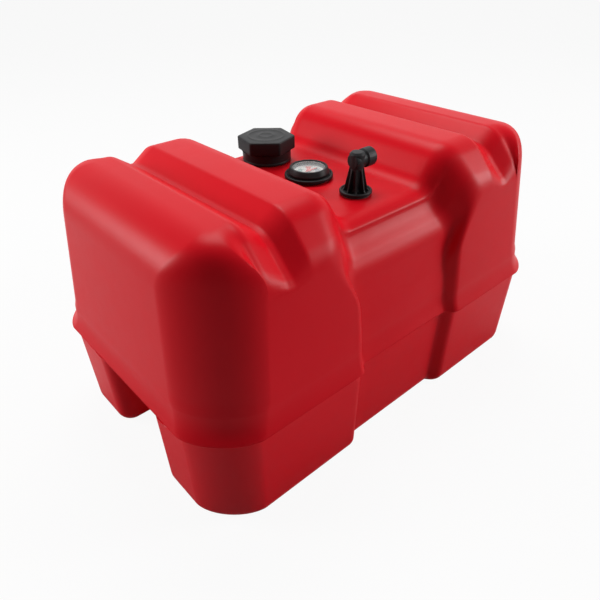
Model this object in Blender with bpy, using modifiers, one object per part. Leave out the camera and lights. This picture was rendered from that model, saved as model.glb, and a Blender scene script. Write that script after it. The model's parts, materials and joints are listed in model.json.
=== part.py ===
"""Outboard fuel tank: a portable blow-moulded marine tank with its fittings.

Frame: X runs along the tank, Y across it, Z up. The origin lies on the ground under the
middle of the body. Lengths are metres. The saddle deck on top carries, from +Y to -Y, the
filler cap, the direct-reading fuel gauge and the pickup elbow.
"""
import math
from dataclasses import dataclass, replace

import bmesh
import bpy
from mathutils import Matrix, Vector

# Tank body, outer sizes
body_length = 0.602
body_width = 0.378
body_height = 0.342
wall = 0.004
seam_height = 0.136
lip_overhang = 0.004
lip_thickness = 0.004
lip_undercut = 0.0015
flare_height = 0.030
lip_corner_radius = 0.066
upper_corner_radius = 0.073
lower_corner_radius = 0.063
top_corner_radius = 0.014
corner_flatness = 1.25
upper_draft = math.radians(5.2)
lower_draft = math.radians(2.2)
bottom_radius = 0.018
shoulder_radius = 0.055
chamfer_width = 0.040
chamfer_height = 0.044
chamfer_low_radius = 0.030
chamfer_high_radius = 0.018

# Saddle deck between the two humps
deck_drop = 0.046
deck_half_length = 0.069
saddle_run = 0.0282
saddle_foot_radius = 0.024
saddle_brow_radius = 0.032

# Strap groove across each hump
groove_from_end = 0.1205
groove_floor = 0.008
groove_depth = 0.0155
groove_inner_run = 0.022
groove_outer_run = 0.022
groove_edge_radius = 0.009
groove_floor_radius = 0.008
groove_plateau_radius = 0.014

# Recess in the middle of both long sides
recess_depth = 0.0125
recess_foot_low = 0.075
recess_foot_high = 0.078
recess_step_low = 0.021
recess_step_high = 0.055
recess_bend_height = 0.220

# Hand-hold under each end, open to the ground
grip_height = 0.116
grip_half_width = 0.052
grip_mouth_radius = 0.020
grip_depth = 0.095
grip_inner_radius = 0.035
grip_roof_radius = 0.012

# Where the fittings stand on the deck
cap_x = -0.003
cap_y = 0.085
gauge_x = -0.006
gauge_y = -0.003
pickup_x = 0.0
pickup_y = -0.079

# Ports moulded into the deck
neck_radius = 0.027
neck_bore = 0.0225
neck_height = 0.022
gauge_port_bore = 0.0218
gauge_port_radius = 0.0275
gauge_port_depth = 0.014
pickup_port_bore = 0.0108
pickup_port_radius = 0.0165
pickup_port_depth = 0.012

# Filler cap
cap_height = 0.034
cap_deck_gap = 0.0008
cap_skirt_radius = 0.033
cap_bore = 0.0300
cap_grip_height = 0.018
cap_grip_radius = 0.039
cap_corner_round = 0.0035
cap_top_bevel = 0.0022
cap_bevel_middle = 0.0007
cap_foot_bevel = 0.0011
cap_roof = 0.0035
cap_turn_angle = math.radians(-42.0)
cap_sides = 6
cap_gasket_width = 0.0060
cap_gasket_thickness = 0.0020
cap_liner_thickness = 0.0024
cap_liner_rim_width = 0.0020

# Vent valve hanging in the cap's liner
vent_tube_radius = 0.0080
vent_tube_bore = 0.0062
vent_tube_length = 0.0150
vent_floor = 0.0016
vent_inlet_radius = 0.0024
vent_disc_radius = 0.0050
vent_disc_thickness = 0.0016
vent_stem_radius = 0.0012
vent_stem_length = 0.0115
vent_spring_radius = 0.0032
vent_spring_wire = 0.00035
vent_retainer_thickness = 0.0016
vent_retainer_vent = 0.0010
vent_retainer_vents = 3

# Fuel gauge above the deck
gauge_gasket_radius = 0.0270
gauge_gasket_thickness = 0.0016
gauge_flange_radius = 0.0308
gauge_flange_thickness = 0.0042
gauge_flange_round = 0.0012
gauge_spigot_radius = 0.0214
gauge_spigot_bore = 0.0172
gauge_spigot_length = 0.0180
gauge_web = 0.0016
gauge_cup_radius = 0.0226
gauge_cup_bore = 0.0203
gauge_cup_height = 0.0040
lens_seal_width = 0.0013
lens_seal_thickness = 0.0010
lens_flange_thickness = 0.0014
lens_window_radius = 0.0214
lens_rise = 0.0020
lens_dome = 0.0008
bezel_foot_radius = 0.0262
bezel_top_radius = 0.0236
bezel_bore = 0.0230
bezel_lip = 0.0014
bezel_cylinder_height = 0.0018
dial_thickness = 0.0008
dial_lift = 0.0034
dial_hole_radius = 0.0022
pointer_length = 0.0150
pointer_tail = 0.0050
pointer_width = 0.0026
pointer_thickness = 0.0006
pointer_hub_radius = 0.0032
pointer_shaft_radius = 0.0014
pointer_lift = 0.0005
magnet_radius = 0.0070
magnet_thickness = 0.0016
magnet_gap = 0.0006

# Gauge drive below the deck
mast_plate_radius = 0.0168
mast_plate_thickness = 0.0030
mast_plate_lift = 0.0030
mast_radius = 0.0062
mast_bore = 0.0026
shaft_radius = 0.0020
gear_module = 0.0010
pinion_teeth = 12
sector_gear_teeth = 30
gear_face = 0.0040
gear_addendum_share = 0.85
gear_dedendum_share = 1.15
gear_backlash = 0.00028
gear_pressure_angle = math.radians(25.0)
sector_margin = math.radians(12.0)
sector_plate = 0.0026
lever_hub_radius = 0.0042
lever_bore_clearance = 0.00025
lever_socket_length = 0.0200
lever_socket_radius = 0.0032
fork_cheek = 0.0026
fork_width = 0.0150
fork_bridge = 0.0036
fork_foot = 0.0070
bridge_gap = 0.0008
pin_radius = 0.0015
pin_head_radius = 0.0030
pin_head_thickness = 0.0012
pin_clearance = 0.00025
clip_radius = 0.0034
clip_thickness = 0.0008
pin_tail = 0.0024
arm_wire_radius = 0.0012
arm_low_angle = math.radians(55.0)
arm_swing = math.radians(110.0)
float_radius = 0.0140
float_length = 0.036
float_round = 0.0020
float_bore_depth = 0.020
float_floor_gap = 0.0184
float_roof_gap = 0.0084

# Pickup elbow on the deck
pickup_gasket_radius = 0.0178
pickup_gasket_thickness = 0.0014
elbow_flange_radius = 0.0196
elbow_flange_thickness = 0.0030
elbow_lip_width = 0.0022
elbow_lip_height = 0.0010
elbow_spigot_radius = 0.0104
elbow_spigot_length = 0.0160
elbow_bore = 0.0034
elbow_core_radius = 0.0078
elbow_fin_radius = 0.0150
elbow_fin_top_radius = 0.0100
elbow_fins = 8
elbow_fin_thickness = 0.0024
elbow_fin_height = 0.0322
horn_height = 0.0412
horn_radius = 0.0092
horn_collar_radius = 0.0112
horn_collar_length = 0.0130
horn_reach = 0.0232
horn_back = 0.0082
horn_ribs = 12
horn_rib_depth = 0.0006
valve_bore = 0.0046
valve_bore_start = 0.0045
horn_link_bore = 0.0028
horn_link_start = -0.0009
outlet_bore = 0.0062
outlet_depth = 0.0098

# Outlet shut-off valve inside the horn
valve_seat_length = 0.0046
valve_seat_hole = 0.0024
valve_head_radius = 0.0038
valve_head_thickness = 0.0018
valve_stem_radius = 0.0012
valve_stem_length = 0.0080
valve_spring_radius = 0.0030
valve_spring_wire = 0.00030

# Dip tube and strainer
dip_tube_radius = 0.0048
dip_tube_bore = 0.0034
dip_tube_entry = 0.0100
strainer_radius = 0.0085
strainer_wall = 0.0014
strainer_height = 0.0260
strainer_floor_gap = 0.0060
strainer_collar = 0.0060
strainer_slots = 6
strainer_slot_width = 0.0022
strainer_slot_margin = 0.0040

# Clearances and modelling values
seat_gap = 0.0003
slide_gap = 0.0004
overrun = 0.002
merge_gap = 0.00001
least_radius = 0.0005
round_steps = 28
small_steps = 16
spring_turns = 4.0
spring_points_per_turn = 8
full_turn = 2 * math.pi
quarter_turn = math.pi / 2
smooth_angle = math.radians(32.0)
flat_angle = math.radians(0.6)

# Shares and counts that shape the smaller pieces
lens_dome_middle_share = 0.75
pointer_taper_share = 0.80

# Shares that shape the body's rings
saddle_corners = 3
wall_middle_share = 0.45
flare_middle_share = 0.40
flare_middle_out_share = 0.28
roof_lip_share = 0.10
roof_lip_rise_share = 0.30
groove_fade_shares = (0.0, 0.45, 0.75, 0.9, 1.0, 1.0, 1.0)
recess_fade_shares = (1.0, 1.0, 1.0, 0.9, 0.3, 0.1, 0.0)

deck_height = body_height - deck_drop
half_length = body_length / 2
half_width = body_width / 2
float_travel = deck_height - 2 * wall - 2 * float_radius - float_floor_gap - float_roof_gap
arm_length = float_travel / 2 / math.sin(arm_low_angle)
pivot_height = wall + float_floor_gap + float_radius + float_travel / 2
pivot_depth = deck_height - pivot_height


def clear_scene():
    for item in list(bpy.data.objects):
        bpy.data.objects.remove(item, do_unlink=True)


def new_collection(name):
    collection = bpy.data.collections.new(name)
    bpy.context.scene.collection.children.link(collection)
    return collection


clear_scene()
parts = new_collection("outboard_fuel_tank")
cutters = new_collection("cutters")


def make_material(name, colour, roughness, metallic=0.0):
    material = bpy.data.materials.new(name)
    material.use_nodes = True
    shader = material.node_tree.nodes["Principled BSDF"]
    shader.inputs["Base Color"].default_value = (*colour, 1.0)
    shader.inputs["Roughness"].default_value = roughness
    shader.inputs["Metallic"].default_value = metallic
    material.diffuse_color = (*colour, 1.0)
    return material



def offset_corners(corners, skin):
    """The chain of straight runs, moved to its right-hand side by the skin."""
    runs = []
    for start, end in zip(corners, corners[1:]):
        along = (Vector(end) - Vector(start)).normalized()
        aside = Vector((along.y, -along.x)) * skin
        runs.append((Vector(start) + aside, Vector(end) + aside, along))
    moved = [tuple(runs[0][0])]
    for before, after in zip(runs, runs[1:]):
        reach = (after[0] - before[0]).cross(after[2]) / before[2].cross(after[2])
        moved.append(tuple(before[0] + before[2] * reach))
    moved.append(tuple(runs[-1][1]))
    return moved


def rounded_chain(corners, radii, steps):
    """The chain with each inner corner turned into an arc of equal steps.

    An arc takes at most half of the shorter run beside it. The result holds one list of
    points for each corner, and the chain's own ends are its first and last lists.
    """
    groups = [[tuple(corners[0])]]
    for index in range(1, len(corners) - 1):
        corner = Vector(corners[index])
        before = corner - Vector(corners[index - 1])
        after = Vector(corners[index + 1]) - corner
        turn = math.atan2(before.cross(after), before.dot(after))
        room = min(before.length, after.length) / 2
        half_tangent = math.tan(abs(turn) / 2)
        cut = min(max(radii[index - 1], least_radius) * half_tangent, room)
        start = corner - before.normalized() * cut
        left = Vector((-before.y, before.x)).normalized()
        centre = start + left * math.copysign(cut / half_tangent, turn)
        points = []
        for step in range(steps[index - 1] + 1):
            spin = Matrix.Rotation(turn * step / steps[index - 1], 2)
            points.append(tuple(centre + spin @ (start - centre)))
        groups.append(points)
    groups.append([tuple(corners[-1])])
    return groups


@dataclass
class Skin:
    """The outer face of the body, or its cavity where depth is the wall."""
    depth: float
    arc: int
    corner_steps: int
    has_lip: bool


@dataclass
class Ring:
    """One level of the body: how far it reaches, how high it lies and what dents it.

    recess, fall, groove and grip are shares of the side recess, the saddle's drop, the
    groove's drop and the hand-hold that the level takes up.
    """
    end: float
    end_height: float
    side: float
    side_height: float
    corner: float
    foot: float
    step: float
    recess: float = 1
    fall: float = 0
    groove: float = 0
    grip: float = 0
    fillet: float = 0


def end_profile(skin):
    """Shoulder of the end wall, as points of reach and height."""
    foot = half_length - lip_overhang
    lean = (body_height - seam_height) * math.tan(upper_draft)
    corner = foot - lean
    chain = [(corner - 2 * shoulder_radius, body_height), (corner, body_height)]
    chain.append((foot, seam_height))
    chain = offset_corners(chain, skin.depth)[::-1]
    return rounded_chain(chain, [shoulder_radius - skin.depth], [2 * skin.arc + 1])[1]


def side_profile(skin):
    """Round, chamfer and upper round of the side wall, as points of reach and height."""
    foot = half_width - lip_overhang
    low_height = body_height - chamfer_height
    low = foot - (low_height - seam_height) * math.tan(upper_draft)
    high = low - chamfer_width
    chain = [(0, body_height), (high, body_height), (low, low_height), (foot, seam_height)]
    chain = offset_corners(chain, skin.depth)[::-1]
    radii = [chamfer_low_radius - skin.depth, chamfer_high_radius - skin.depth]
    groups = rounded_chain(chain, radii, [skin.arc, skin.arc])
    return groups[1] + groups[2]


def top_profile(skin):
    """Heights along the tank from its middle to the plateau, grouped by corner."""
    groove_middle = half_length - groove_from_end
    floor_in = groove_middle - groove_floor / 2
    floor_out = groove_middle + groove_floor / 2
    groove_height = body_height - groove_depth
    plateau_end = end_profile(skin)[-1][0]
    chain = [
        (0, deck_height),
        (deck_half_length, deck_height),
        (deck_half_length + saddle_run, body_height),
        (floor_in - groove_inner_run, body_height),
        (floor_in, groove_height),
        (floor_out, groove_height),
        (floor_out + groove_outer_run, body_height),
        (plateau_end, body_height),
    ]
    chain = offset_corners(chain, skin.depth)
    radii = [
        saddle_foot_radius + skin.depth,
        saddle_brow_radius - skin.depth,
        groove_edge_radius - skin.depth,
        groove_floor_radius + skin.depth,
        groove_floor_radius + skin.depth,
        groove_plateau_radius - skin.depth,
    ]
    few = max(skin.arc - 1, 1)
    return rounded_chain(chain, radii, [skin.arc, skin.arc, few, 1, 1, few])


def side_stations(skin):
    """Places along the side, each with the saddle's and the groove's drop there."""
    top = body_height - skin.depth
    stations = []
    for index, group in enumerate(top_profile(skin)[:-1]):
        for place, height in group:
            drops = (top - height, 0) if index < saddle_corners else (0, top - height)
            stations.append((place, *drops))
    return stations


def warp_knots(skin):
    """Places on the top of the saddle's foot and brow, and of the groove's two edges."""
    groups = top_profile(skin)
    return [0, groups[1][0][0], groups[2][-1][0], groups[3][0][0], groups[6][-1][0]]


def smooth_share(value):
    value = min(max(value, 0), 1)
    return value * value * (3 - 2 * value)


def share_at(shares, place):
    """Value of a table of shares at a place from 0 to 1."""
    position = place * (len(shares) - 1)
    index = min(int(position), len(shares) - 2)
    return shares[index] + (shares[index + 1] - shares[index]) * (position - index)


def recess_place(height):
    """Where the side recess's step starts at a height, and how wide it is."""
    top = body_height - chamfer_height
    share = smooth_share((height - recess_bend_height) / (top - recess_bend_height))
    foot = recess_foot_low + (recess_foot_high - recess_foot_low) * share
    step = recess_step_low + (recess_step_high - recess_step_low) * share
    return foot, step


def plain_ring(inset, height, corner_radius):
    foot, step = recess_place(height)
    corner = corner_radius - inset / 2
    return Ring(half_length - inset, height, half_width - inset, height, corner, foot, step)


def lower_inset(height):
    """How far the lower wall stands inside the lip at a height."""
    return lip_overhang + lip_undercut + (seam_height - height) * math.tan(lower_draft)


def lower_rings(skin):
    """Rings of the lower half, from the ground up to above the hand-holds' roof."""
    rings = []
    radius = bottom_radius - skin.depth
    for index in range(skin.arc + 1):
        angle = quarter_turn * index / skin.arc
        height = bottom_radius - radius * math.cos(angle)
        fillet = radius * (1 - math.sin(angle))
        inset = lower_inset(height) + skin.depth + fillet
        ring = plain_ring(inset, height, lower_corner_radius)
        rings.append(replace(ring, grip=1, fillet=fillet))
    roof = grip_height + skin.depth
    levels = [(roof, 1), (roof + grip_roof_radius * roof_lip_rise_share, roof_lip_share)]
    levels.append((roof + grip_roof_radius, 0))
    for height, grip in levels:
        ring = plain_ring(lower_inset(height) + skin.depth, height, lower_corner_radius)
        rings.append(replace(ring, grip=grip))
    return rings


def seam_rings(skin):
    """Rings of the moulded lip and of the flare above it."""
    flare_top = seam_height + flare_height
    top_inset = lip_overhang + skin.depth + flare_height * math.tan(upper_draft)
    top_ring = plain_ring(top_inset, flare_top, upper_corner_radius)
    if not skin.has_lip:
        inset = lower_inset(seam_height) + skin.depth
        return [plain_ring(inset, seam_height, lower_corner_radius), top_ring]
    under = seam_height - lip_thickness / 2
    over = seam_height + lip_thickness / 2
    middle = over + (flare_top - over) * flare_middle_share
    middle_inset = top_inset * (1 - flare_middle_out_share)
    return [
        plain_ring(lower_inset(under), under, lower_corner_radius),
        plain_ring(0, under, lip_corner_radius),
        plain_ring(0, over, lip_corner_radius),
        plain_ring(middle_inset, middle, upper_corner_radius),
        top_ring,
    ]


def upper_rings(skin, knots):
    """Rings of the upper wall, the shoulder and the chamfer."""
    ends = end_profile(skin)
    sides = side_profile(skin)
    low = seam_height + flare_height
    lean = math.tan(upper_draft)
    end_height = low + (ends[0][1] - low) * wall_middle_share
    side_height = low + (sides[0][1] - low) * wall_middle_share
    foot, step = recess_place(side_height)
    rings = [Ring(
        half_length - lip_overhang - skin.depth - (end_height - seam_height) * lean,
        end_height,
        half_width - lip_overhang - skin.depth - (side_height - seam_height) * lean,
        side_height,
        upper_corner_radius - skin.depth,
        foot,
        step,
        fall=wall_middle_share,
    )]
    top_radius = min(top_corner_radius, (ends[-1][0] - knots[-1]) / 2)
    for index, (end, side) in enumerate(zip(ends, sides)):
        share = index / (len(ends) - 1)
        blend = smooth_share(share)
        foot, step = recess_place(side[1])
        wall_corner = upper_corner_radius - skin.depth
        rings.append(Ring(
            *end,
            *side,
            wall_corner + (top_radius - wall_corner) * blend,
            foot + (knots[1] - foot) * blend,
            step + (knots[2] - knots[1] - step) * blend,
            share_at(recess_fade_shares, share),
            1,
            share_at(groove_fade_shares, share),
        ))
    return rings


def warped(place, ring, knots):
    """Moves a station from its place on the top to its place on a ring."""
    sources = [*knots, knots[-1] + merge_gap]
    targets = [0, ring.foot, ring.foot + ring.step, *knots[3:], ring.end - ring.corner]
    for index in range(len(knots) - 1):
        if place <= knots[index + 1]:
            break
    share = (place - sources[index]) / (sources[index + 1] - sources[index])
    return targets[index] + (targets[index + 1] - targets[index]) * share


def end_row(ring, skin):
    """Plan points along half of an end: the corner's end, the hand-hold, the middle."""
    start = ring.side - ring.corner
    width = grip_half_width + skin.depth + ring.fillet
    mouth = grip_mouth_radius - skin.depth - ring.fillet
    mouth = min(mouth, start - width - least_radius)
    inner = min(grip_inner_radius + ring.fillet, width - least_radius)
    back = half_length - grip_depth - skin.depth - ring.fillet
    arc = 2 * skin.arc
    row = [(ring.end, start)]
    for index in range(arc + 1):
        angle = quarter_turn * index / arc
        x = ring.end - mouth * (1 - math.cos(angle))
        row.append((x, width + mouth * (1 - math.sin(angle))))
    for index in range(skin.arc + 1):
        angle = quarter_turn * index / skin.arc
        y = width - inner * (1 - math.cos(angle))
        row.append((back + inner * (1 - math.sin(angle)), y))
    row.append((back, 0))
    mixed = []
    for index, (x, y) in enumerate(row):
        flat_y = start * (1 - index / (len(row) - 1))
        mixed_x = ring.end + (x - ring.end) * ring.grip
        mixed.append((mixed_x, flat_y + (y - flat_y) * ring.grip))
    return mixed


def quarter_ring(ring, skin, stations, knots):
    """Points of a quarter of a ring, from the side's middle to the end's middle."""
    points = []
    for place, saddle, groove in stations:
        dent = recess_depth * ring.recess * saddle / deck_drop
        height = ring.side_height - saddle * ring.fall - groove * ring.groove
        points.append((warped(place, ring, knots), ring.side - dent, height))
    for index in range(2 * skin.corner_steps + 1):
        angle = quarter_turn * index / (2 * skin.corner_steps)
        rise = (ring.end_height - ring.side_height) * math.sin(angle) ** 2
        across = max(math.cos(angle), 0) ** corner_flatness
        x = ring.end - ring.corner * (1 - math.sin(angle) ** corner_flatness)
        y = ring.side - ring.corner * (1 - across)
        points.append((x, y, ring.side_height + rise))
    for x, y in end_row(ring, skin)[1:]:
        points.append((x, y, ring.end_height))
    return points


def body_quarter(skin):
    """Vertices and faces of a quarter of the body, open at both middle planes."""
    stations = side_stations(skin)
    knots = warp_knots(skin)
    rings = lower_rings(skin) + seam_rings(skin) + upper_rings(skin, knots)
    rows = [quarter_ring(ring, skin, stations, knots) for ring in rings]
    count = len(rows[0])
    vertices = [point for row in rows for point in row]
    faces = []
    for level in range(len(rows) - 1):
        for index in range(level * count, level * count + count - 1):
            faces.append((index, index + count, index + count + 1, index + 1))
    top = (len(rows) - 1) * count
    last = len(stations)
    middle = len(vertices)
    for x, y, z in rows[-1][:last + 1]:
        vertices.append((x, 0, z))
    for index in range(last):
        faces.append((middle + index, middle + index + 1, top + index + 1, top + index))
    faces.append((middle + last, *range(top + count - 1, top + last - 1, -1)))
    vertices.append((0, 0, rows[0][0][2]))
    faces.append((len(vertices) - 1, *range(count)))
    return vertices, faces


def place_object(name, mesh, material, collection, location=(0, 0, 0)):
    item = bpy.data.objects.new(name, mesh)
    item.location = location
    collection.objects.link(item)
    if material:
        mesh.materials.append(material)
    if collection is cutters:
        item.hide_render = True
        item.display_type = "WIRE"
    return item


def from_faces(name, vertices, faces, material, collection, location=(0, 0, 0)):
    mesh = bpy.data.meshes.new(name)
    mesh.from_pydata(vertices, [], faces)
    mesh.update()
    return place_object(name, mesh, material, collection, location)


def body_skin(name, skin, material, collection):
    """The whole skin, mirrored from its quarter, with its flat faces made whole."""
    item = from_faces(name, *body_quarter(skin), material, collection)
    mirror = item.modifiers.new("both sides", "MIRROR")
    mirror.use_axis = (True, True, False)
    mirror.use_clip = True
    mirror.merge_threshold = merge_gap
    flat = item.modifiers.new("flat faces", "DECIMATE")
    flat.decimate_type = "DISSOLVE"
    flat.angle_limit = flat_angle
    return settle(item)


def settle(item):
    """Keeps the shape that the modifiers give, welded and with smooth round faces."""
    graph = bpy.context.evaluated_depsgraph_get()
    mesh = bpy.data.meshes.new_from_object(item.evaluated_get(graph))
    solid = bmesh.new()
    solid.from_mesh(mesh)
    bmesh.ops.remove_doubles(solid, verts=solid.verts, dist=merge_gap)
    bmesh.ops.recalc_face_normals(solid, faces=solid.faces)
    solid.to_mesh(mesh)
    solid.free()
    mesh.shade_smooth()
    mesh.set_sharp_from_angle(angle=smooth_angle)
    item.modifiers.clear()
    item.data = mesh
    return item


def combine(item, others, operation, solver="EXACT"):
    """Joins the others to the item, or cuts them out, one Boolean for each."""
    for other in others:
        boolean = item.modifiers.new(other.name, "BOOLEAN")
        boolean.object = other
        boolean.operation = operation
        boolean.solver = solver
    return item


def turned(name, profile, material, collection=parts, location=(0, 0, 0), steps=round_steps):
    """A solid of revolution about Z: its profile runs down the outer side."""
    mesh = bpy.data.meshes.new(name)
    is_ring = profile[0][0] > 0
    points = [(radius, 0, height) for radius, height in profile]
    edges = [(index, index + 1) for index in range(len(points) - 1)]
    if is_ring:
        edges.append((len(points) - 1, 0))
    edges = [edge for edge in edges if profile[edge[0]][0] + profile[edge[1]][0] > 0]
    mesh.from_pydata(points, edges, [])
    item = place_object(name, mesh, material, collection, location)
    screw = item.modifiers.new("turn", "SCREW")
    screw.angle = full_turn
    screw.steps = steps
    screw.render_steps = steps
    screw.use_merge_vertices = True
    screw.merge_threshold = merge_gap
    return settle(item)


def tube_profile(outer, inner, low, high):
    return [(outer, high), (outer, low), (inner, low), (inner, high)]


def rod_profile(radius, low, high):
    return [(0, high), (radius, high), (radius, low), (0, low)]


def loft(name, rings, material, collection=parts, location=(0, 0, 0)):
    """A closed solid through rings of equally many points, with flat caps."""
    count = len(rings[0])
    vertices = [point for ring in rings for point in ring]
    faces = [tuple(range(count))]
    for level in range(len(rings) - 1):
        for index in range(count):
            after = (index + 1) % count
            low = level * count
            high = low + count
            faces.append((low + index, high + index, high + after, low + after))
    faces.append(tuple(range(len(vertices) - 1, len(vertices) - count - 1, -1)))
    return settle(from_faces(name, vertices, faces, material, collection, location))


def box(name, low, high, material, collection=parts, location=(0, 0, 0)):
    solid = bmesh.new()
    bmesh.ops.create_cube(solid, size=1)
    for vertex in solid.verts:
        for axis in range(3):
            share = vertex.co[axis] + 1 / 2
            vertex.co[axis] = low[axis] + (high[axis] - low[axis]) * share
    mesh = bpy.data.meshes.new(name)
    solid.to_mesh(mesh)
    solid.free()
    return place_object(name, mesh, material, collection, location)


def turn_mesh(item, angle, axis):
    """Turns the shape inside its object, so that the object's own axes stay."""
    item.data.transform(Matrix.Rotation(angle, 4, axis))
    return item


def coil(name, radius, wire, low, high, turns, material, location):
    """A compression spring about Z, from one helix of wire."""
    count = int(turns * spring_points_per_turn)
    curve = bpy.data.curves.new(name, "CURVE")
    curve.dimensions = "3D"
    curve.bevel_depth = wire
    curve.bevel_resolution = 0
    curve.use_fill_caps = True
    spline = curve.splines.new("POLY")
    spline.points.add(count)
    for index in range(count + 1):
        angle = full_turn * turns * index / count
        height = low + wire + (high - low - 2 * wire) * index / count
        spline.points[index].co = (radius * math.cos(angle), radius * math.sin(angle), height, 1)
    item = bpy.data.objects.new(name, curve)
    item.location = location
    parts.objects.link(item)
    graph = bpy.context.evaluated_depsgraph_get()
    mesh = bpy.data.meshes.new_from_object(item.evaluated_get(graph))
    bpy.data.objects.remove(item, do_unlink=True)
    return settle(place_object(name, mesh, material, parts, location))


red_plastic = make_material("moulded red polyethylene", (0.58, 0.012, 0.018), 0.42)
black_plastic = make_material("black polypropylene", (0.020, 0.021, 0.022), 0.45)
grey_rubber = make_material("nitrile rubber", (0.012, 0.012, 0.012), 0.80)
clear_plastic = make_material("clear lens", (0.80, 0.84, 0.84), 0.08)
dial_paint = make_material("dial face", (0.62, 0.64, 0.63), 0.55)
pointer_paint = make_material("pointer red", (0.70, 0.05, 0.04), 0.50)
acetal = make_material("white acetal", (0.70, 0.69, 0.65), 0.40)
spring_steel = make_material("stainless wire", (0.55, 0.55, 0.54), 0.30, 1.0)
magnet_grey = make_material("ferrite magnet", (0.06, 0.06, 0.065), 0.60)
float_foam = make_material("closed-cell float", (0.035, 0.033, 0.030), 0.75)


def tank_shell():
    """The hollow body with its neck and ports."""
    outer = Skin(0, 3, 3, True)
    inner = Skin(wall, 2, 2, False)
    shell = body_skin("tank_shell", outer, red_plastic, parts)
    cavity = body_skin("cavity", inner, None, cutters)
    combine(shell, [cavity], "DIFFERENCE", "MANIFOLD")
    joint_level = deck_height - wall / 2
    neck_profile = [
        (neck_radius, deck_height + neck_height),
        (neck_radius, joint_level),
        (neck_bore - overrun, joint_level),
        (neck_bore - overrun, deck_height + neck_height),
    ]
    neck = turned("neck", neck_profile, None, cutters, (cap_x, cap_y, 0))
    gauge_low = deck_height - gauge_port_depth
    gauge_profile = tube_profile(
        gauge_port_radius, gauge_port_bore - overrun, gauge_low, joint_level)
    gauge_port = turned("gauge port", gauge_profile, None, cutters, (gauge_x, gauge_y, 0))
    pickup_low = deck_height - pickup_port_depth
    pickup_profile = tube_profile(
        pickup_port_radius, pickup_port_bore - overrun, pickup_low, joint_level)
    pickup_port = turned("pickup port", pickup_profile, None, cutters, (pickup_x, pickup_y, 0))
    combine(shell, [neck, gauge_port, pickup_port], "UNION", "MANIFOLD")
    bottom = deck_height - gauge_port_depth - overrun
    top = deck_height + neck_height + overrun
    bores = []
    for name, radius, x, y in (
        ("neck bore", neck_bore, cap_x, cap_y),
        ("gauge bore", gauge_port_bore, gauge_x, gauge_y),
        ("pickup bore", pickup_port_bore, pickup_x, pickup_y),
    ):
        bores.append(turned(name, rod_profile(radius, bottom, top), None, cutters, (x, y, 0)))
    combine(shell, bores, "DIFFERENCE", "MANIFOLD")
    return settle(shell)


def hexagon_ring(radius, height):
    """A hexagon with rounded corners, turned as the cap stands in its rest pose."""
    points = []
    inset = cap_corner_round / math.cos(math.pi / cap_sides)
    for side in range(cap_sides):
        middle = cap_turn_angle + full_turn * side / cap_sides
        centre = Vector((math.cos(middle), math.sin(middle))) * (radius - inset)
        for step in (-1, 0, 1):
            angle = middle + step * math.pi / cap_sides
            corner = Vector((math.cos(angle), math.sin(angle))) * cap_corner_round
            points.append((*(centre + corner), height))
    return points


def cap_shell():
    """Hexagonal hand grip over a round skirt, bored for the neck."""
    grip_low = cap_height - cap_grip_height
    grip = loft("cap_shell", [
        hexagon_ring(cap_grip_radius - cap_foot_bevel, grip_low),
        hexagon_ring(cap_grip_radius, grip_low + cap_foot_bevel),
        hexagon_ring(cap_grip_radius, cap_height - cap_top_bevel),
        hexagon_ring(cap_grip_radius - cap_bevel_middle, cap_height - cap_bevel_middle),
        hexagon_ring(cap_grip_radius - cap_top_bevel, cap_height),
    ], black_plastic, parts, (cap_x, cap_y, deck_height))
    low = cap_deck_gap
    skirt_profile = rod_profile(cap_skirt_radius, low, grip_low + cap_roof)
    skirt = turned("skirt", skirt_profile, None, cutters, grip.location)
    roof = cap_height - cap_roof
    bore_profile = rod_profile(cap_bore, low - overrun, roof)
    bore = turned("cap bore", bore_profile, None, cutters, grip.location)
    combine(grip, [skirt], "UNION")
    combine(grip, [bore], "DIFFERENCE")
    return settle(grip)


def cap_levels():
    """Heights above the deck of the gasket's foot and of the liner's foot."""
    gasket_low = neck_height + seat_gap
    return gasket_low, gasket_low + cap_gasket_thickness + seat_gap


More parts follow.
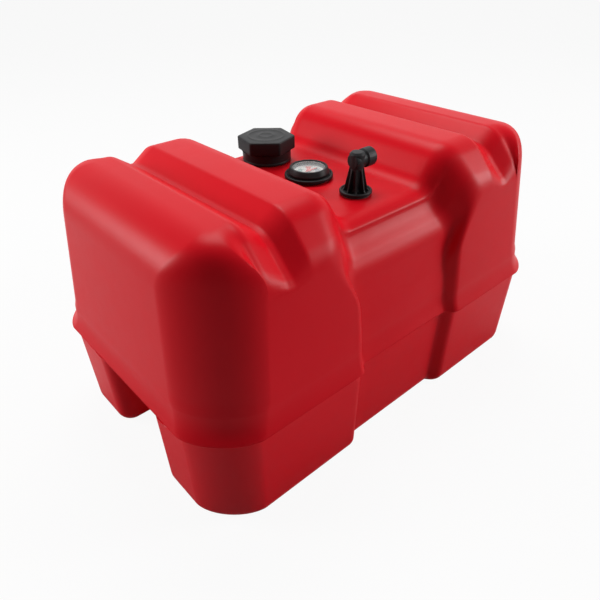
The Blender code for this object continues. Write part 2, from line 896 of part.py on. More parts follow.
def cap_seal_parts():
    """Gasket and liner, which rise with the cap and don't turn, and the vent in them."""
    place = (cap_x, cap_y, deck_height)
    gasket_low, liner_low = cap_levels()
    gasket_high = gasket_low + cap_gasket_thickness
    gasket_inner = neck_bore - seat_gap
    turned("cap_gasket", tube_profile(
        gasket_inner + cap_gasket_width, gasket_inner, gasket_low, gasket_high,
    ), grey_rubber, parts, place)
    liner_high = liner_low + cap_liner_thickness
    rim_high = cap_height - cap_roof - seat_gap
    outer = cap_bore - slide_gap
    tube_low = liner_low - vent_tube_length
    turned("cap_liner", [
        (outer, rim_high),
        (outer, liner_low),
        (vent_tube_radius, liner_low),
        (vent_tube_radius, tube_low),
        (vent_inlet_radius, tube_low),
        (vent_inlet_radius, tube_low + vent_floor),
        (vent_tube_bore, tube_low + vent_floor),
        (vent_tube_bore, liner_high),
        (outer - cap_liner_rim_width, liner_high),
        (outer - cap_liner_rim_width, rim_high),
    ], black_plastic, parts, place)
    seat = tube_low + vent_floor + seat_gap
    disc_high = seat + vent_disc_thickness
    turned("vent_poppet", [
        (0, disc_high + vent_stem_length),
        (vent_stem_radius, disc_high + vent_stem_length),
        (vent_stem_radius, disc_high),
        (vent_disc_radius, disc_high),
        (vent_disc_radius, seat),
        (0, seat),
    ], acetal, parts, place, small_steps)
    retainer_low = liner_high - vent_retainer_thickness
    retainer = turned("vent_retainer", tube_profile(
        vent_tube_bore - seat_gap, vent_stem_radius + slide_gap, retainer_low, liner_high,
    ), acetal, parts, place, small_steps)
    holes = []
    reach = (vent_tube_bore + vent_spring_radius) / 2
    for index in range(vent_retainer_vents):
        angle = full_turn * index / vent_retainer_vents
        x = reach * math.cos(angle)
        y = reach * math.sin(angle)
        profile = rod_profile(vent_retainer_vent, retainer_low - overrun, liner_high + overrun)
        spot = (place[0] + x, place[1] + y, place[2])
        holes.append(turned("vent hole", profile, None, cutters, spot, small_steps // 2))
    combine(retainer, holes, "DIFFERENCE")
    settle(retainer)
    coil("vent_spring", vent_spring_radius, vent_spring_wire, disc_high + seat_gap,
         retainer_low - seat_gap, spring_turns, spring_steel, place)


def gauge_levels():
    """Heights above the deck of the gauge's flange, lens and lens flange."""
    flange_low = seat_gap + gauge_gasket_thickness + seat_gap
    flange_high = flange_low + gauge_flange_thickness
    cup_high = flange_high + gauge_cup_height
    lens_low = cup_high + seat_gap
    lens_high = lens_low + lens_flange_thickness
    return flange_low, flange_high, cup_high, lens_low, lens_high


def gauge_head():
    """Body, gasket, dial, lens, seal and bezel of the gauge."""
    place = (gauge_x, gauge_y, deck_height)
    flange_low, flange_high, cup_high, lens_low, lens_high = gauge_levels()
    turned("gauge_gasket", tube_profile(
        gauge_gasket_radius, gauge_port_bore, seat_gap, seat_gap + gauge_gasket_thickness,
    ), grey_rubber, parts, place)
    web_high = flange_low + gauge_web
    turned("gauge_body", [
        (gauge_cup_radius, cup_high),
        (gauge_cup_radius, flange_high),
        (gauge_flange_radius - gauge_flange_round, flange_high),
        (gauge_flange_radius, flange_high - gauge_flange_round),
        (gauge_flange_radius, flange_low),
        (gauge_spigot_radius, flange_low),
        (gauge_spigot_radius, -gauge_spigot_length),
        (gauge_spigot_bore, -gauge_spigot_length),
        (gauge_spigot_bore, flange_low),
        (0, flange_low),
        (0, web_high),
        (gauge_cup_bore - dial_thickness, web_high),
        (gauge_cup_bore - dial_thickness, web_high + dial_lift),
        (gauge_cup_bore, web_high + dial_lift),
        (gauge_cup_bore, cup_high),
    ], black_plastic, parts, place)
    dial_low = web_high + dial_lift + seat_gap
    dial_high = dial_low + dial_thickness
    turned("gauge_dial", tube_profile(
        gauge_cup_bore - seat_gap, dial_hole_radius, dial_low, dial_high,
    ), dial_paint, parts, place)
    seal_high = lens_high + seat_gap + lens_seal_thickness
    lip_low = seal_high + seat_gap
    turned("lens_seal", tube_profile(
        bezel_bore - seat_gap, bezel_bore - seat_gap - lens_seal_width,
        lens_high + seat_gap, seal_high,
    ), grey_rubber, parts, place)
    window_high = lens_high + lens_rise
    turned("gauge_lens", [
        (0, window_high + lens_dome),
        (lens_window_radius / 2, window_high + lens_dome * lens_dome_middle_share),
        (lens_window_radius - seat_gap, window_high),
        (lens_window_radius - seat_gap, lens_high),
        (bezel_bore - seat_gap, lens_high),
        (bezel_bore - seat_gap, lens_low),
        (0, lens_low),
    ], clear_plastic, parts, place)
    turned("gauge_bezel", [
        (bezel_top_radius, lip_low + bezel_lip),
        (bezel_foot_radius, flange_high + seat_gap + bezel_cylinder_height),
        (bezel_foot_radius, flange_high + seat_gap),
        (bezel_bore, flange_high + seat_gap),
        (bezel_bore, lip_low),
        (lens_window_radius, lip_low),
        (lens_window_radius, lip_low + bezel_lip),
    ], black_plastic, parts, place)


def pointer_parts():
    """Pointer over the dial and the magnet that turns it, on the gauge's axis."""
    place = (gauge_x, gauge_y, deck_height)
    flange_low = gauge_levels()[0]
    web_high = flange_low + gauge_web
    magnet_low = web_high + magnet_gap
    magnet_high = magnet_low + magnet_thickness
    turned("pointer_magnet", tube_profile(
        magnet_radius, pointer_shaft_radius + seat_gap, magnet_low, magnet_high,
    ), magnet_grey, parts, place, small_steps)
    dial_high = web_high + dial_lift + seat_gap + dial_thickness
    low = dial_high + pointer_lift
    high = low + pointer_thickness
    hub = turned("gauge_pointer", [
        (0, high + pointer_thickness),
        (pointer_hub_radius, high + pointer_thickness),
        (pointer_hub_radius, low),
        (pointer_shaft_radius, low),
        (pointer_shaft_radius, magnet_low),
        (0, magnet_low),
    ], pointer_paint, parts, place, small_steps)
    half = pointer_width / 2
    outline = [
        (pointer_length, 0),
        (pointer_length * pointer_taper_share, half),
        (-pointer_tail, half),
        (-pointer_tail, -half),
        (pointer_length * pointer_taper_share, -half),
    ]
    rings = [[(x, y, height) for x, y in outline] for height in (low, high)]
    blade = loft("blade", rings, None, cutters, place)
    combine(hub, [blade], "UNION")
    settle(hub)


def gear_outline(teeth, mate_teeth, first, last, height_share):
    """Tooth points of a straight bevel gear, scaled to a share of the cone distance.

    The flanks are involutes of the equivalent spur gear. Each point keeps its distance
    along the axis from the point where both gears' axes meet.
    """
    radius = gear_module * teeth / 2
    mate = gear_module * mate_teeth / 2
    slope = math.atan2(radius, mate)
    virtual = radius / math.cos(slope)
    base = virtual * math.cos(gear_pressure_angle)
    involute = math.tan(gear_pressure_angle) - gear_pressure_angle
    half_pitch = math.pi * gear_module / 4 - gear_backlash / 2
    top = gear_module * gear_addendum_share
    bottom = -gear_module * gear_dedendum_share

    def half_angle(rise):
        at = max(virtual + rise, base)
        pressure = math.acos(base / at)
        spread = half_pitch / virtual + involute - (math.tan(pressure) - pressure)
        return spread * at / (radius + rise * math.cos(slope))

    points = []
    rises = (bottom, 0, top)
    for tooth in range(first, last):
        middle = full_turn * tooth / teeth
        flank = [(rise, half_angle(rise)) for rise in rises]
        whole = [(rise, -angle) for rise, angle in flank]
        whole += [(rise, angle) for rise, angle in reversed(flank)]
        for rise, angle in whole:
            across = (radius + rise * math.cos(slope)) * height_share
            along = (mate - rise * math.sin(slope)) * height_share
            turn = middle + angle
            points.append((across * math.cos(turn), across * math.sin(turn), along))
    return points


def face_share():
    """How much smaller a tooth is at its inner end."""
    cone = math.hypot(pinion_teeth, sector_gear_teeth) * gear_module / 2
    return (cone - gear_face) / cone


def pinion_shaft():
    """Vertical shaft with the bevel pinion at its foot and the driving magnet on top."""
    place = (gauge_x, gauge_y, deck_height)
    phase = quarter_turn % (full_turn / pinion_teeth)
    rings = []
    for share in (1, face_share()):
        row = gear_outline(pinion_teeth, sector_gear_teeth, 0, pinion_teeth, share)
        row = [turned_point(point, phase) for point in row]
        rings.append([(x, y, z - pivot_depth) for x, y, z in row])
    pinion = loft("pinion_shaft", rings, acetal, parts, place)
    flange_low = gauge_levels()[0]
    magnet_high = flange_low - magnet_gap
    magnet_low = magnet_high - magnet_thickness
    tooth_low = gear_module * sector_gear_teeth / 2 * face_share() - pivot_depth
    stem_profile = rod_profile(shaft_radius, tooth_low - shaft_radius / 4, magnet_high)
    stem = turned("stem", stem_profile, None, cutters, place, small_steps)
    combine(pinion, [stem], "UNION")
    settle(pinion)
    turned("driver_magnet", tube_profile(
        magnet_radius, shaft_radius + seat_gap, magnet_low, magnet_high,
    ), magnet_grey, parts, place, small_steps)
    return pinion


def fork_places():
    """Where the fork's two cheeks stand along the pin, from the pivot's middle."""
    pinion_reach = gear_module * pinion_teeth / 2 + gear_module
    return -pinion_reach - slide_gap, pinion_reach + sector_plate + slide_gap


def gauge_mast():
    """Tube with a mounting plate at its top and a fork for the lever at its foot."""
    place = (gauge_x, gauge_y, deck_height)
    plate_low = -gauge_spigot_length + mast_plate_lift
    plate_high = plate_low + mast_plate_thickness
    near, far = fork_places()
    gear_top = gear_module * sector_gear_teeth / 2
    bridge_low = gear_top + gear_module * gear_addendum_share + bridge_gap - pivot_depth
    bridge_high = bridge_low + fork_bridge
    mast = turned("gauge_mast", [
        (mast_plate_radius, plate_high),
        (mast_plate_radius, plate_low),
        (mast_radius, plate_low),
        (mast_radius, bridge_low + fork_bridge / 2),
        (mast_bore, bridge_low + fork_bridge / 2),
        (mast_bore, plate_high),
    ], acetal, parts, place, small_steps)
    half = fork_width / 2
    low = -pivot_depth - fork_foot
    bridge = box("bridge", (-half, near - fork_cheek, bridge_low),
                 (half, far + fork_cheek, bridge_high), None, cutters, place)
    inner = fork_bridge / 2
    left = box("near cheek", (-half, near - fork_cheek, low),
               (half, near, bridge_low + inner), None, cutters, place)
    right = box("far cheek", (-half, far, low),
                (half, far + fork_cheek, bridge_low + inner), None, cutters, place)
    combine(mast, [bridge, left, right], "UNION")
    bore_profile = rod_profile(mast_bore, bridge_low - overrun, bridge_high)
    bore = turned("shaft bore", bore_profile, None, cutters, place, small_steps)
    pin_hole_profile = rod_profile(
        pin_radius + pin_clearance, near - fork_cheek - overrun, far + fork_cheek + overrun)
    hole = turned("pin hole", pin_hole_profile, None, cutters, pivot_place(), small_steps)
    along_pin(hole)
    combine(mast, [bore, hole], "DIFFERENCE")
    return settle(mast)


def pivot_place():
    return (gauge_x, gauge_y, deck_height - pivot_depth)


def along_pin(item):
    """Lays a piece that was turned about Z along the pin, with its top toward +Y."""
    return turn_mesh(item, -quarter_turn, "X")


def pivot_pin():
    near, far = fork_places()
    low = near - fork_cheek - seat_gap
    high = far + fork_cheek + seat_gap
    pin = turned("arm_pivot_pin", [
        (0, high + pin_tail),
        (pin_radius, high + pin_tail),
        (pin_radius, low),
        (pin_head_radius, low),
        (pin_head_radius, low - pin_head_thickness),
        (0, low - pin_head_thickness),
    ], spring_steel, parts, pivot_place(), small_steps)
    along_pin(pin)
    clip = turned("pin_clip", tube_profile(
        clip_radius, pin_radius + seat_gap, high, high + clip_thickness,
    ), spring_steel, parts, pivot_place(), small_steps)
    along_pin(clip)


def float_lever():
    """Hub with the toothed sector and a socket for the float's wire."""
    near, far = fork_places()
    mesh_angle = full_turn - quarter_turn
    tooth_step = full_turn / sector_gear_teeth
    phase = (mesh_angle / tooth_step - 1 / 2) % 1 * tooth_step
    first = math.ceil((mesh_angle - arm_swing - sector_margin - phase) / tooth_step)
    last = math.floor((mesh_angle + sector_margin - phase) / tooth_step)
    rings = []
    mate = gear_module * pinion_teeth / 2
    plate_back = mate + sector_plate + gear_module
    for share in (face_share(), 1):
        row = gear_outline(sector_gear_teeth, pinion_teeth, first, last, share)
        row = [turned_point(point, phase) for point in row]
        row.append((0, 0, row[-1][2]))
        rings.append(row)
    back_row = [(x, y, plate_back) for x, y, z in rings[-1]]
    rings.append(back_row)
    lever = loft("float_lever", rings, acetal, parts, pivot_place())
    hub = turned("hub", rod_profile(
        lever_hub_radius, near + slide_gap, far - slide_gap,
    ), None, cutters, pivot_place(), small_steps)
    socket = turned("socket", rod_profile(
        lever_socket_radius, 0, lever_socket_length,
    ), None, cutters, pivot_place(), small_steps)
    aim_along_arm(socket)
    combine(lever, [hub, socket], "UNION", "MANIFOLD")
    pin_bore = turned("lever bore", rod_profile(
        pin_radius + lever_bore_clearance, near - overrun, far + overrun,
    ), None, cutters, pivot_place(), small_steps)
    wire_bore = turned("wire bore", rod_profile(
        arm_wire_radius + seat_gap, lever_hub_radius + least_radius,
        lever_socket_length + overrun,
    ), None, cutters, pivot_place(), small_steps)
    aim_along_arm(wire_bore)
    combine(lever, [pin_bore, wire_bore], "DIFFERENCE", "MANIFOLD")
    settle(lever)
    lever.data.transform(Matrix.Rotation(-quarter_turn, 4, "X"))
    return lever


def turned_point(point, angle):
    x, y, z = point
    cosine = math.cos(angle)
    sine = math.sin(angle)
    return (x * cosine - y * sine, x * sine + y * cosine, z)


def arm_level():
    """Place along the pin of the float's wire, in the middle of the sector's plate."""
    return fork_places()[1] - slide_gap - lever_socket_radius


def aim_along_arm(item):
    """Turns a piece made about Z to run along the arm in the lever's own plane."""
    tilt = Matrix.Rotation(quarter_turn, 4, "Y")
    aim = Matrix.Rotation(math.pi - arm_low_angle, 4, "Z")
    shift = Matrix.Translation((0, 0, arm_level()))
    item.data.transform(shift @ aim @ tilt)
    return item


def float_arm():
    """Wire from the lever to the float, and the float that it carries."""
    start = lever_hub_radius + least_radius + seat_gap
    wire = turned("float_arm", rod_profile(
        arm_wire_radius, start, arm_length + float_bore_depth / 2,
    ), spring_steel, parts, pivot_place(), small_steps // 2)
    aim_along_arm(wire)
    wire.data.transform(Matrix.Rotation(-quarter_turn, 4, "X"))
    half = float_length / 2
    level = arm_level()
    edge = float_radius - float_round
    body = turned("float", [
        (0, half),
        (edge, half),
        (float_radius, half - float_round),
        (float_radius, float_round - half),
        (edge, -half),
        (0, -half),
    ], float_foam, parts, pivot_place())
    aim = math.pi - arm_low_angle
    centre = (arm_length * math.cos(aim), arm_length * math.sin(aim), level)
    body.data.transform(Matrix.Translation(centre))
    bore = turned("float bore", rod_profile(
        arm_wire_radius + seat_gap, arm_length - float_radius * 2,
        arm_length + float_bore_depth / 2 + seat_gap,
    ), None, cutters, pivot_place(), small_steps // 2)
    aim_along_arm(bore)
    combine(body, [bore], "DIFFERENCE")
    settle(body)
    body.data.transform(Matrix.Rotation(-quarter_turn, 4, "X"))


def star_ring(core, tip, height):
    """Section of the elbow's tower: a round core with fins standing out of it."""
    points = []
    for fin in range(elbow_fins):
        middle = full_turn * fin / elbow_fins
        half = elbow_fin_thickness / 2
        foot = math.asin(min(half / core, 1))
        head = math.asin(min(half / tip, 1))
        for radius, angle in ((core, -foot), (tip, -head), (tip, head), (core, foot)):
            points.append((
                radius * math.cos(middle + angle), radius * math.sin(middle + angle), height))
    return points


def elbow_levels():
    """Heights above the deck of the elbow's flange."""
    low = seat_gap + pickup_gasket_thickness + seat_gap
    return low, low + elbow_flange_thickness


def along_horn(item):
    """Lays a piece that was turned about Z along the horn, toward +X."""
    item.data.transform(
        Matrix.Translation((0, 0, horn_height)) @ Matrix.Rotation(quarter_turn, 4, "Y"))
    return item


def horn_collar(place):
    """Ribbed collar round the mouth of the horn."""
    rings = []
    start = horn_reach - horn_collar_length
    shrink = horn_rib_depth * 2
    for height, inset in (
        (start, shrink),
        (start + shrink, 0),
        (horn_reach - shrink, 0),
        (horn_reach, shrink / 2),
    ):
        ring = []
        for index in range(horn_ribs * 2):
            angle = full_turn * index / (horn_ribs * 2)
            radius = horn_collar_radius - inset - horn_rib_depth * (index % 2)
            ring.append((radius * math.cos(angle), radius * math.sin(angle), height))
        rings.append(ring)
    return loft("collar", rings, None, cutters, place)


def pickup_elbow():
    """Flange, threaded spigot, finned tower and the horn for the fuel line."""
    place = (pickup_x, pickup_y, deck_height)
    low, high = elbow_levels()
    lip_inner = elbow_flange_radius - elbow_lip_width
    elbow = turned("pickup_elbow", [
        (0, high),
        (lip_inner, high),
        (lip_inner, high + elbow_lip_height),
        (elbow_flange_radius, high + elbow_lip_height),
        (elbow_flange_radius, low),
        (elbow_spigot_radius, low),
        (elbow_spigot_radius, -elbow_spigot_length),
        (0, -elbow_spigot_length),
    ], black_plastic, parts, place)
    tower_low = (low + high) / 2
    tower = loft("tower", [
        star_ring(elbow_core_radius, elbow_fin_radius, tower_low),
        star_ring(elbow_core_radius, elbow_fin_top_radius, elbow_fin_height),
    ], None, cutters, place)
    head = turned("head", rod_profile(
        horn_back, elbow_fin_height - elbow_lip_height, horn_height,
    ), None, cutters, place, small_steps)
    horn = turned("horn", rod_profile(
        horn_radius, -horn_back, horn_reach - elbow_lip_height,
    ), None, cutters, place, small_steps)
    along_horn(horn)
    collar = along_horn(horn_collar(place))
    combine(elbow, [tower, head, horn, collar], "UNION")
    entry_high = -elbow_spigot_length + dip_tube_entry
    entry = dip_tube_radius + seat_gap
    rise = turned("rise bore", [
        (0, horn_height + elbow_bore / 2),
        (elbow_bore, horn_height + elbow_bore / 2),
        (elbow_bore, entry_high),
        (entry, entry_high),
        (entry, -elbow_spigot_length - overrun),
        (0, -elbow_spigot_length - overrun),
    ], None, cutters, place, small_steps)
    outlet_low = horn_reach - outlet_depth
    gallery = turned("horn bore", [
        (0, horn_reach + overrun),
        (outlet_bore, horn_reach + overrun),
        (outlet_bore, outlet_low),
        (valve_bore, outlet_low),
        (valve_bore, valve_bore_start),
        (horn_link_bore, valve_bore_start),
        (horn_link_bore, horn_link_start),
        (0, horn_link_start),
    ], None, cutters, place, small_steps)
    along_horn(gallery)
    combine(elbow, [rise, gallery], "DIFFERENCE")
    settle(elbow)
    turned("pickup_gasket", tube_profile(
        pickup_gasket_radius, pickup_port_bore, seat_gap, seat_gap + pickup_gasket_thickness,
    ), grey_rubber, parts, place)


def outlet_valve():
    """Seat ring, poppet and spring that close the outlet when no fuel line is on."""
    place = (pickup_x, pickup_y, deck_height)
    seat_low = horn_reach - outlet_depth + seat_gap
    seat_high = seat_low + valve_seat_length
    seat = turned("outlet_valve_seat", tube_profile(
        outlet_bore - seat_gap, valve_seat_hole, seat_low, seat_high,
    ), acetal, parts, place, small_steps)
    along_horn(seat)
    head_high = seat_low - seat_gap
    head_low = head_high - valve_head_thickness
    poppet = turned("outlet_valve_poppet", [
        (0, head_high + valve_stem_length),
        (valve_stem_radius, head_high + valve_stem_length),
        (valve_stem_radius, head_high),
        (valve_head_radius, head_high),
        (valve_head_radius, head_low),
        (0, head_low),
    ], acetal, parts, place, small_steps)
    along_horn(poppet)
    spring = coil("outlet_valve_spring", valve_spring_radius, valve_spring_wire,
                  valve_bore_start + seat_gap, head_low - seat_gap, spring_turns,
                  spring_steel, place)
    along_horn(spring)


def dip_tube():
    """Tube from the elbow to the strainer, and the strainer above the tank's floor."""
    place = (pickup_x, pickup_y, deck_height)
    high = -elbow_spigot_length + dip_tube_entry - seat_gap
    floor = wall - deck_height
    strainer_low = floor + strainer_floor_gap
    strainer_high = strainer_low + strainer_height
    tube_low = strainer_high - strainer_collar + seat_gap
    turned("pickup_tube", tube_profile(
        dip_tube_radius, dip_tube_bore, tube_low, high,
    ), black_plastic, parts, place, small_steps)
    collar_low = strainer_high - strainer_collar
    strainer = turned("pickup_strainer", [
        (strainer_radius, strainer_high),
        (strainer_radius, strainer_low),
        (0, strainer_low),
        (0, strainer_low + strainer_wall),
        (strainer_radius - strainer_wall, strainer_low + strainer_wall),
        (strainer_radius - strainer_wall, collar_low - strainer_wall),
        (dip_tube_bore, collar_low),
        (dip_tube_radius + seat_gap, collar_low),
        (dip_tube_radius + seat_gap, strainer_high),
    ], acetal, parts, place, small_steps)
    half = strainer_slot_width / 2
    cuts = []
    for index in range(strainer_slots // 2):
        slot = box("slot", (-strainer_radius - overrun, -half,
                            strainer_low + strainer_wall + strainer_slot_margin / 2),
                   (strainer_radius + overrun, half, collar_low - strainer_slot_margin),
                   None, cutters, place)
        turn_mesh(slot, full_turn * index / strainer_slots, "Z")
        cuts.append(slot)
    combine(strainer, cuts, "DIFFERENCE")
    settle(strainer)


tank_shell()
cap_shell()
cap_seal_parts()
gauge_head()
pointer_parts()
pinion_shaft()
gauge_mast()
pivot_pin()
float_lever()
float_arm()
pickup_elbow()
outlet_valve()
dip_tube()
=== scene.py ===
import json
import math

import bmesh
import bpy
import numpy as np
from mathutils import Matrix, Vector


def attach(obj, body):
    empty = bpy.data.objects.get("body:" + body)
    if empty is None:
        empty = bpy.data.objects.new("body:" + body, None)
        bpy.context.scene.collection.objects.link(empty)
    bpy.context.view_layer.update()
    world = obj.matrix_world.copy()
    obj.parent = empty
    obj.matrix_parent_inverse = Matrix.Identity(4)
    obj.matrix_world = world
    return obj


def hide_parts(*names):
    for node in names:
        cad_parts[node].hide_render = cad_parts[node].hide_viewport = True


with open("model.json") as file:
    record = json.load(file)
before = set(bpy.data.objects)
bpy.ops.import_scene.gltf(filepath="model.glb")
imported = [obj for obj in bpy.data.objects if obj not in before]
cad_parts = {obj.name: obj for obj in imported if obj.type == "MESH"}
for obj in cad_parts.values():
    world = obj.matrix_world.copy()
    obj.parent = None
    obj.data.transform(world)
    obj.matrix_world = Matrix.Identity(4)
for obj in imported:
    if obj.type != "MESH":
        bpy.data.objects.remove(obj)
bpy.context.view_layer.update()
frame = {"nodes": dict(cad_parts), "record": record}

nodes = frame["nodes"]

# Tank body, in metres, as in the solids
body_length = 0.602
body_width = 0.378
body_height = 0.342
wall = 0.004
seam_height = 0.136
lip_overhang = 0.004
lip_thickness = 0.004
lip_undercut = 0.0015
lip_face_inset = 0.0010
lip_root_gap = 0.0012
flare_height = 0.030
flare_power = 2.5
flare_corner_power = 0.5
lip_corner_radius = 0.066
upper_corner_radius = 0.073
lower_corner_radius = 0.063
top_corner_radius = 0.014
corner_flatness = 1.25
upper_draft = math.radians(5.2)
lower_draft = math.radians(2.2)
bottom_radius = 0.018
shoulder_radius = 0.055
chamfer_width = 0.040
chamfer_height = 0.044
chamfer_low_radius = 0.050
chamfer_high_radius = 0.040
deck_drop = 0.046
deck_half_length = 0.069
saddle_run = 0.0282
saddle_foot_radius = 0.024
saddle_brow_radius = 0.032
groove_from_end = 0.1205
groove_floor = 0.008
groove_depth = 0.0155
groove_inner_run = 0.022
groove_outer_run = 0.022
groove_edge_radius = 0.009
groove_floor_radius = 0.008
groove_plateau_radius = 0.014
recess_depth = 0.0125
recess_foot_low = 0.075
recess_foot_high = 0.078
recess_step_low = 0.021
recess_step_high = 0.055
recess_bend_height = 0.220
grip_height = 0.116
grip_half_width = 0.052
grip_mouth_radius = 0.020
grip_depth = 0.095
grip_inner_radius = 0.035
grip_roof_radius = 0.012
least_gap = 0.0005
just_past = 0.00001

# Shares of the recess and of the groove at seven even steps up the shoulder
recess_fade = (1, 1, 1, 0.9, 0.3, 0.1, 0)
groove_rise = (0, 0.45, 0.75, 0.9, 1, 1, 1)

# Fineness of the body's mesh: spans in a short round, and lines across the top
body_spans = 6
body_lines = 24

deck_height = body_height - deck_drop
half_length = body_length / 2
half_width = body_width / 2
groove_middle = half_length - groove_from_end

# Fittings on the deck: their middles, and heights above the deck
cap_middle = (-0.003, 0.085)
gauge_middle = (-0.006, -0.003)
pickup_middle = (0.0, -0.079)
neck_core = 0.0258
neck_thread = 0.0278
neck_bore = 0.0225
neck_height = 0.022
neck_flare = 0.0030
thread_pitch = 0.0056
cap_foot = 0.0008
cap_height = 0.0340
cap_grip_low = 0.0160
cap_tip = 0.0384
cap_corner_round = 0.0036
cap_skirt = 0.0330
cap_bore = 0.0300
cap_roof = 0.0305
cap_turn = math.radians(-42.0)
cap_crown_drop = 0.0004
cap_crown_edge = 0.0251
cap_edge_drop = 0.0005
cap_edge_slope = 0.0002
cap_top_inset = 0.0020
cap_top_round = 0.0018
cap_round_drop = 0.0025
cap_foot_round = 0.0011
cap_skirt_flare = 0.0012
cap_skirt_inset = 0.0002
cap_groove_inset = 0.0009
cap_groove_heights = (0.0052, 0.0044, 0.0036)
gauge_flange_low = 0.0022
gauge_flange_high = 0.0064
gauge_flange_radius = 0.0308
lens_low = 0.0107
bezel_low = 0.0067
bezel_top = 0.0151
dial_low = 0.0075
dial_high = 0.0083
elbow_low = 0.0020
elbow_flange_high = 0.0050
elbow_flange_radius = 0.0196
fin_count = 8
fin_half_thickness = 0.0011
fin_tip_low = 0.0142
fin_tip_high = 0.0084
fin_foot_flare = 0.0012
fin_softness = 8
tower_core = 0.0066
tower_core_gain = 0.0004
tower_high = 0.0330
horn_height = 0.0412
horn_reach = 0.0232
horn_collar = 0.0112
horn_ribs = 24
horn_rib_depth = 0.0005
horn_collar_length = 0.0130
horn_socket_depth = 0.0046
horn_socket_radius = 0.0062
horn_bore_radius = 0.0030


def smooth_share(value):
    """Cubic step from 0 to 1: 3 v squared - 2 v cubed, held at both ends."""
    value = np.clip(value, 0, 1)
    return value * value * (3 - 2 * value)


def arc_corner(before, corner, after, radius):
    """Centre, start vector and turn of the arc that rounds a corner of a chain."""
    corner = np.array(corner, float)
    along_in = corner - before
    along_out = np.array(after, float) - corner
    cross = along_in[0] * along_out[1] - along_in[1] * along_out[0]
    turn = math.atan2(cross, along_in @ along_out)
    length_in = np.linalg.norm(along_in)
    room = min(length_in, np.linalg.norm(along_out)) / 2
    tangent = math.tan(abs(turn) / 2)
    cut = min(radius * tangent, room)
    along_in /= length_in
    start = corner - along_in * cut
    normal = np.array([-along_in[1], along_in[0]]) * math.copysign(cut / tangent, turn)
    return start + normal, -normal, turn


def arc_points(before, corner, after, radius, shares):
    """Points at shares of the arc: the start vector turned by turn x share."""
    centre, spoke, turn = arc_corner(np.array(before, float), corner, after, radius)
    angle = turn * np.asarray(shares)
    cosine, sine = np.cos(angle), np.sin(angle)
    x = centre[0] + spoke[0] * cosine - spoke[1] * sine
    y = centre[1] + spoke[0] * sine + spoke[1] * cosine
    return np.stack([x, y], -1)


def shoulder_rows(shares):
    """Reach and height of the end's shoulder and of the side's chamfer at each share.

    The end is one arc. The side is an arc for 3/7 of the way, a straight chamfer for 1/7
    and a second arc for the rest.
    """
    end_foot = half_length - lip_overhang
    end_corner = end_foot - (body_height - seam_height) * math.tan(upper_draft)
    end = arc_points((end_foot, seam_height), (end_corner, body_height),
                     (end_corner - 2 * shoulder_radius, body_height), shoulder_radius, shares)
    foot = half_width - lip_overhang
    low_height = body_height - chamfer_height
    low = foot - (low_height - seam_height) * math.tan(upper_draft)
    high = low - chamfer_width
    first = arc_points((foot, seam_height), (low, low_height), (high, body_height),
                       chamfer_low_radius, np.clip(shares * 7 / 3, 0, 1))
    second = arc_points((low, low_height), (high, body_height), (0, body_height),
                        chamfer_high_radius, np.clip((shares * 7 - 4) / 3, 0, 1))
    share = np.clip(shares * 7 - 3, 0, 1)[:, None]
    return end, first * (1 - share) + second * share


def top_line(per_arc, per_run):
    """Heights from the deck's middle out over saddle, ridge, groove and plateau."""
    floor_in = groove_middle - groove_floor / 2
    floor_out = groove_middle + groove_floor / 2
    groove_height = body_height - groove_depth
    plateau_end = shoulder_rows(np.array([1.0]))[0][0, 0]
    chain = [
        (0, deck_height),
        (deck_half_length, deck_height),
        (deck_half_length + saddle_run, body_height),
        (floor_in - groove_inner_run, body_height),
        (floor_in, groove_height),
        (floor_out, groove_height),
        (floor_out + groove_outer_run, body_height),
        (plateau_end, body_height),
    ]
    radii = [saddle_foot_radius, saddle_brow_radius, groove_edge_radius,
             groove_floor_radius, groove_floor_radius, groove_plateau_radius]
    shares = np.linspace(0, 1, per_arc)
    groups = [np.array([chain[0]], float)]
    for index, radius in enumerate(radii):
        groups.append(arc_points(*chain[index:index + 3], radius, shares))
    knots = [0, groups[1][0, 0], groups[2][-1, 0], groups[3][0, 0], groups[6][-1, 0]]
    groups.append(np.array([chain[-1]], float))
    line = [groups[0]]
    inner = np.linspace(0, 1, per_run + 1)[1:, None]
    for before, after in zip(groups, groups[1:]):
        run = before[-1] + (after[0] - before[-1]) * inner
        line += [run, after[1:]]
    line = np.concatenate(line)
    is_saddle = line[:, 0] < (knots[2] + knots[3]) / 2
    drop = body_height - line[:, 1]
    return line[:-1, 0], (drop * is_saddle)[:-1], (drop * ~is_saddle)[:-1], knots


def recess_place(height):
    """Where the side recess's step starts, and how wide it is, blended by height."""
    top = body_height - chamfer_height
    share = smooth_share((height - recess_bend_height) / (top - recess_bend_height))
    foot = recess_foot_low + (recess_foot_high - recess_foot_low) * share
    return foot, recess_step_low + (recess_step_high - recess_step_low) * share


def lower_inset(height):
    """How far the lower wall stands inside the lip's edge, by its draft below the seam."""
    return lip_overhang + lip_undercut + (seam_height - height) * math.tan(lower_draft)


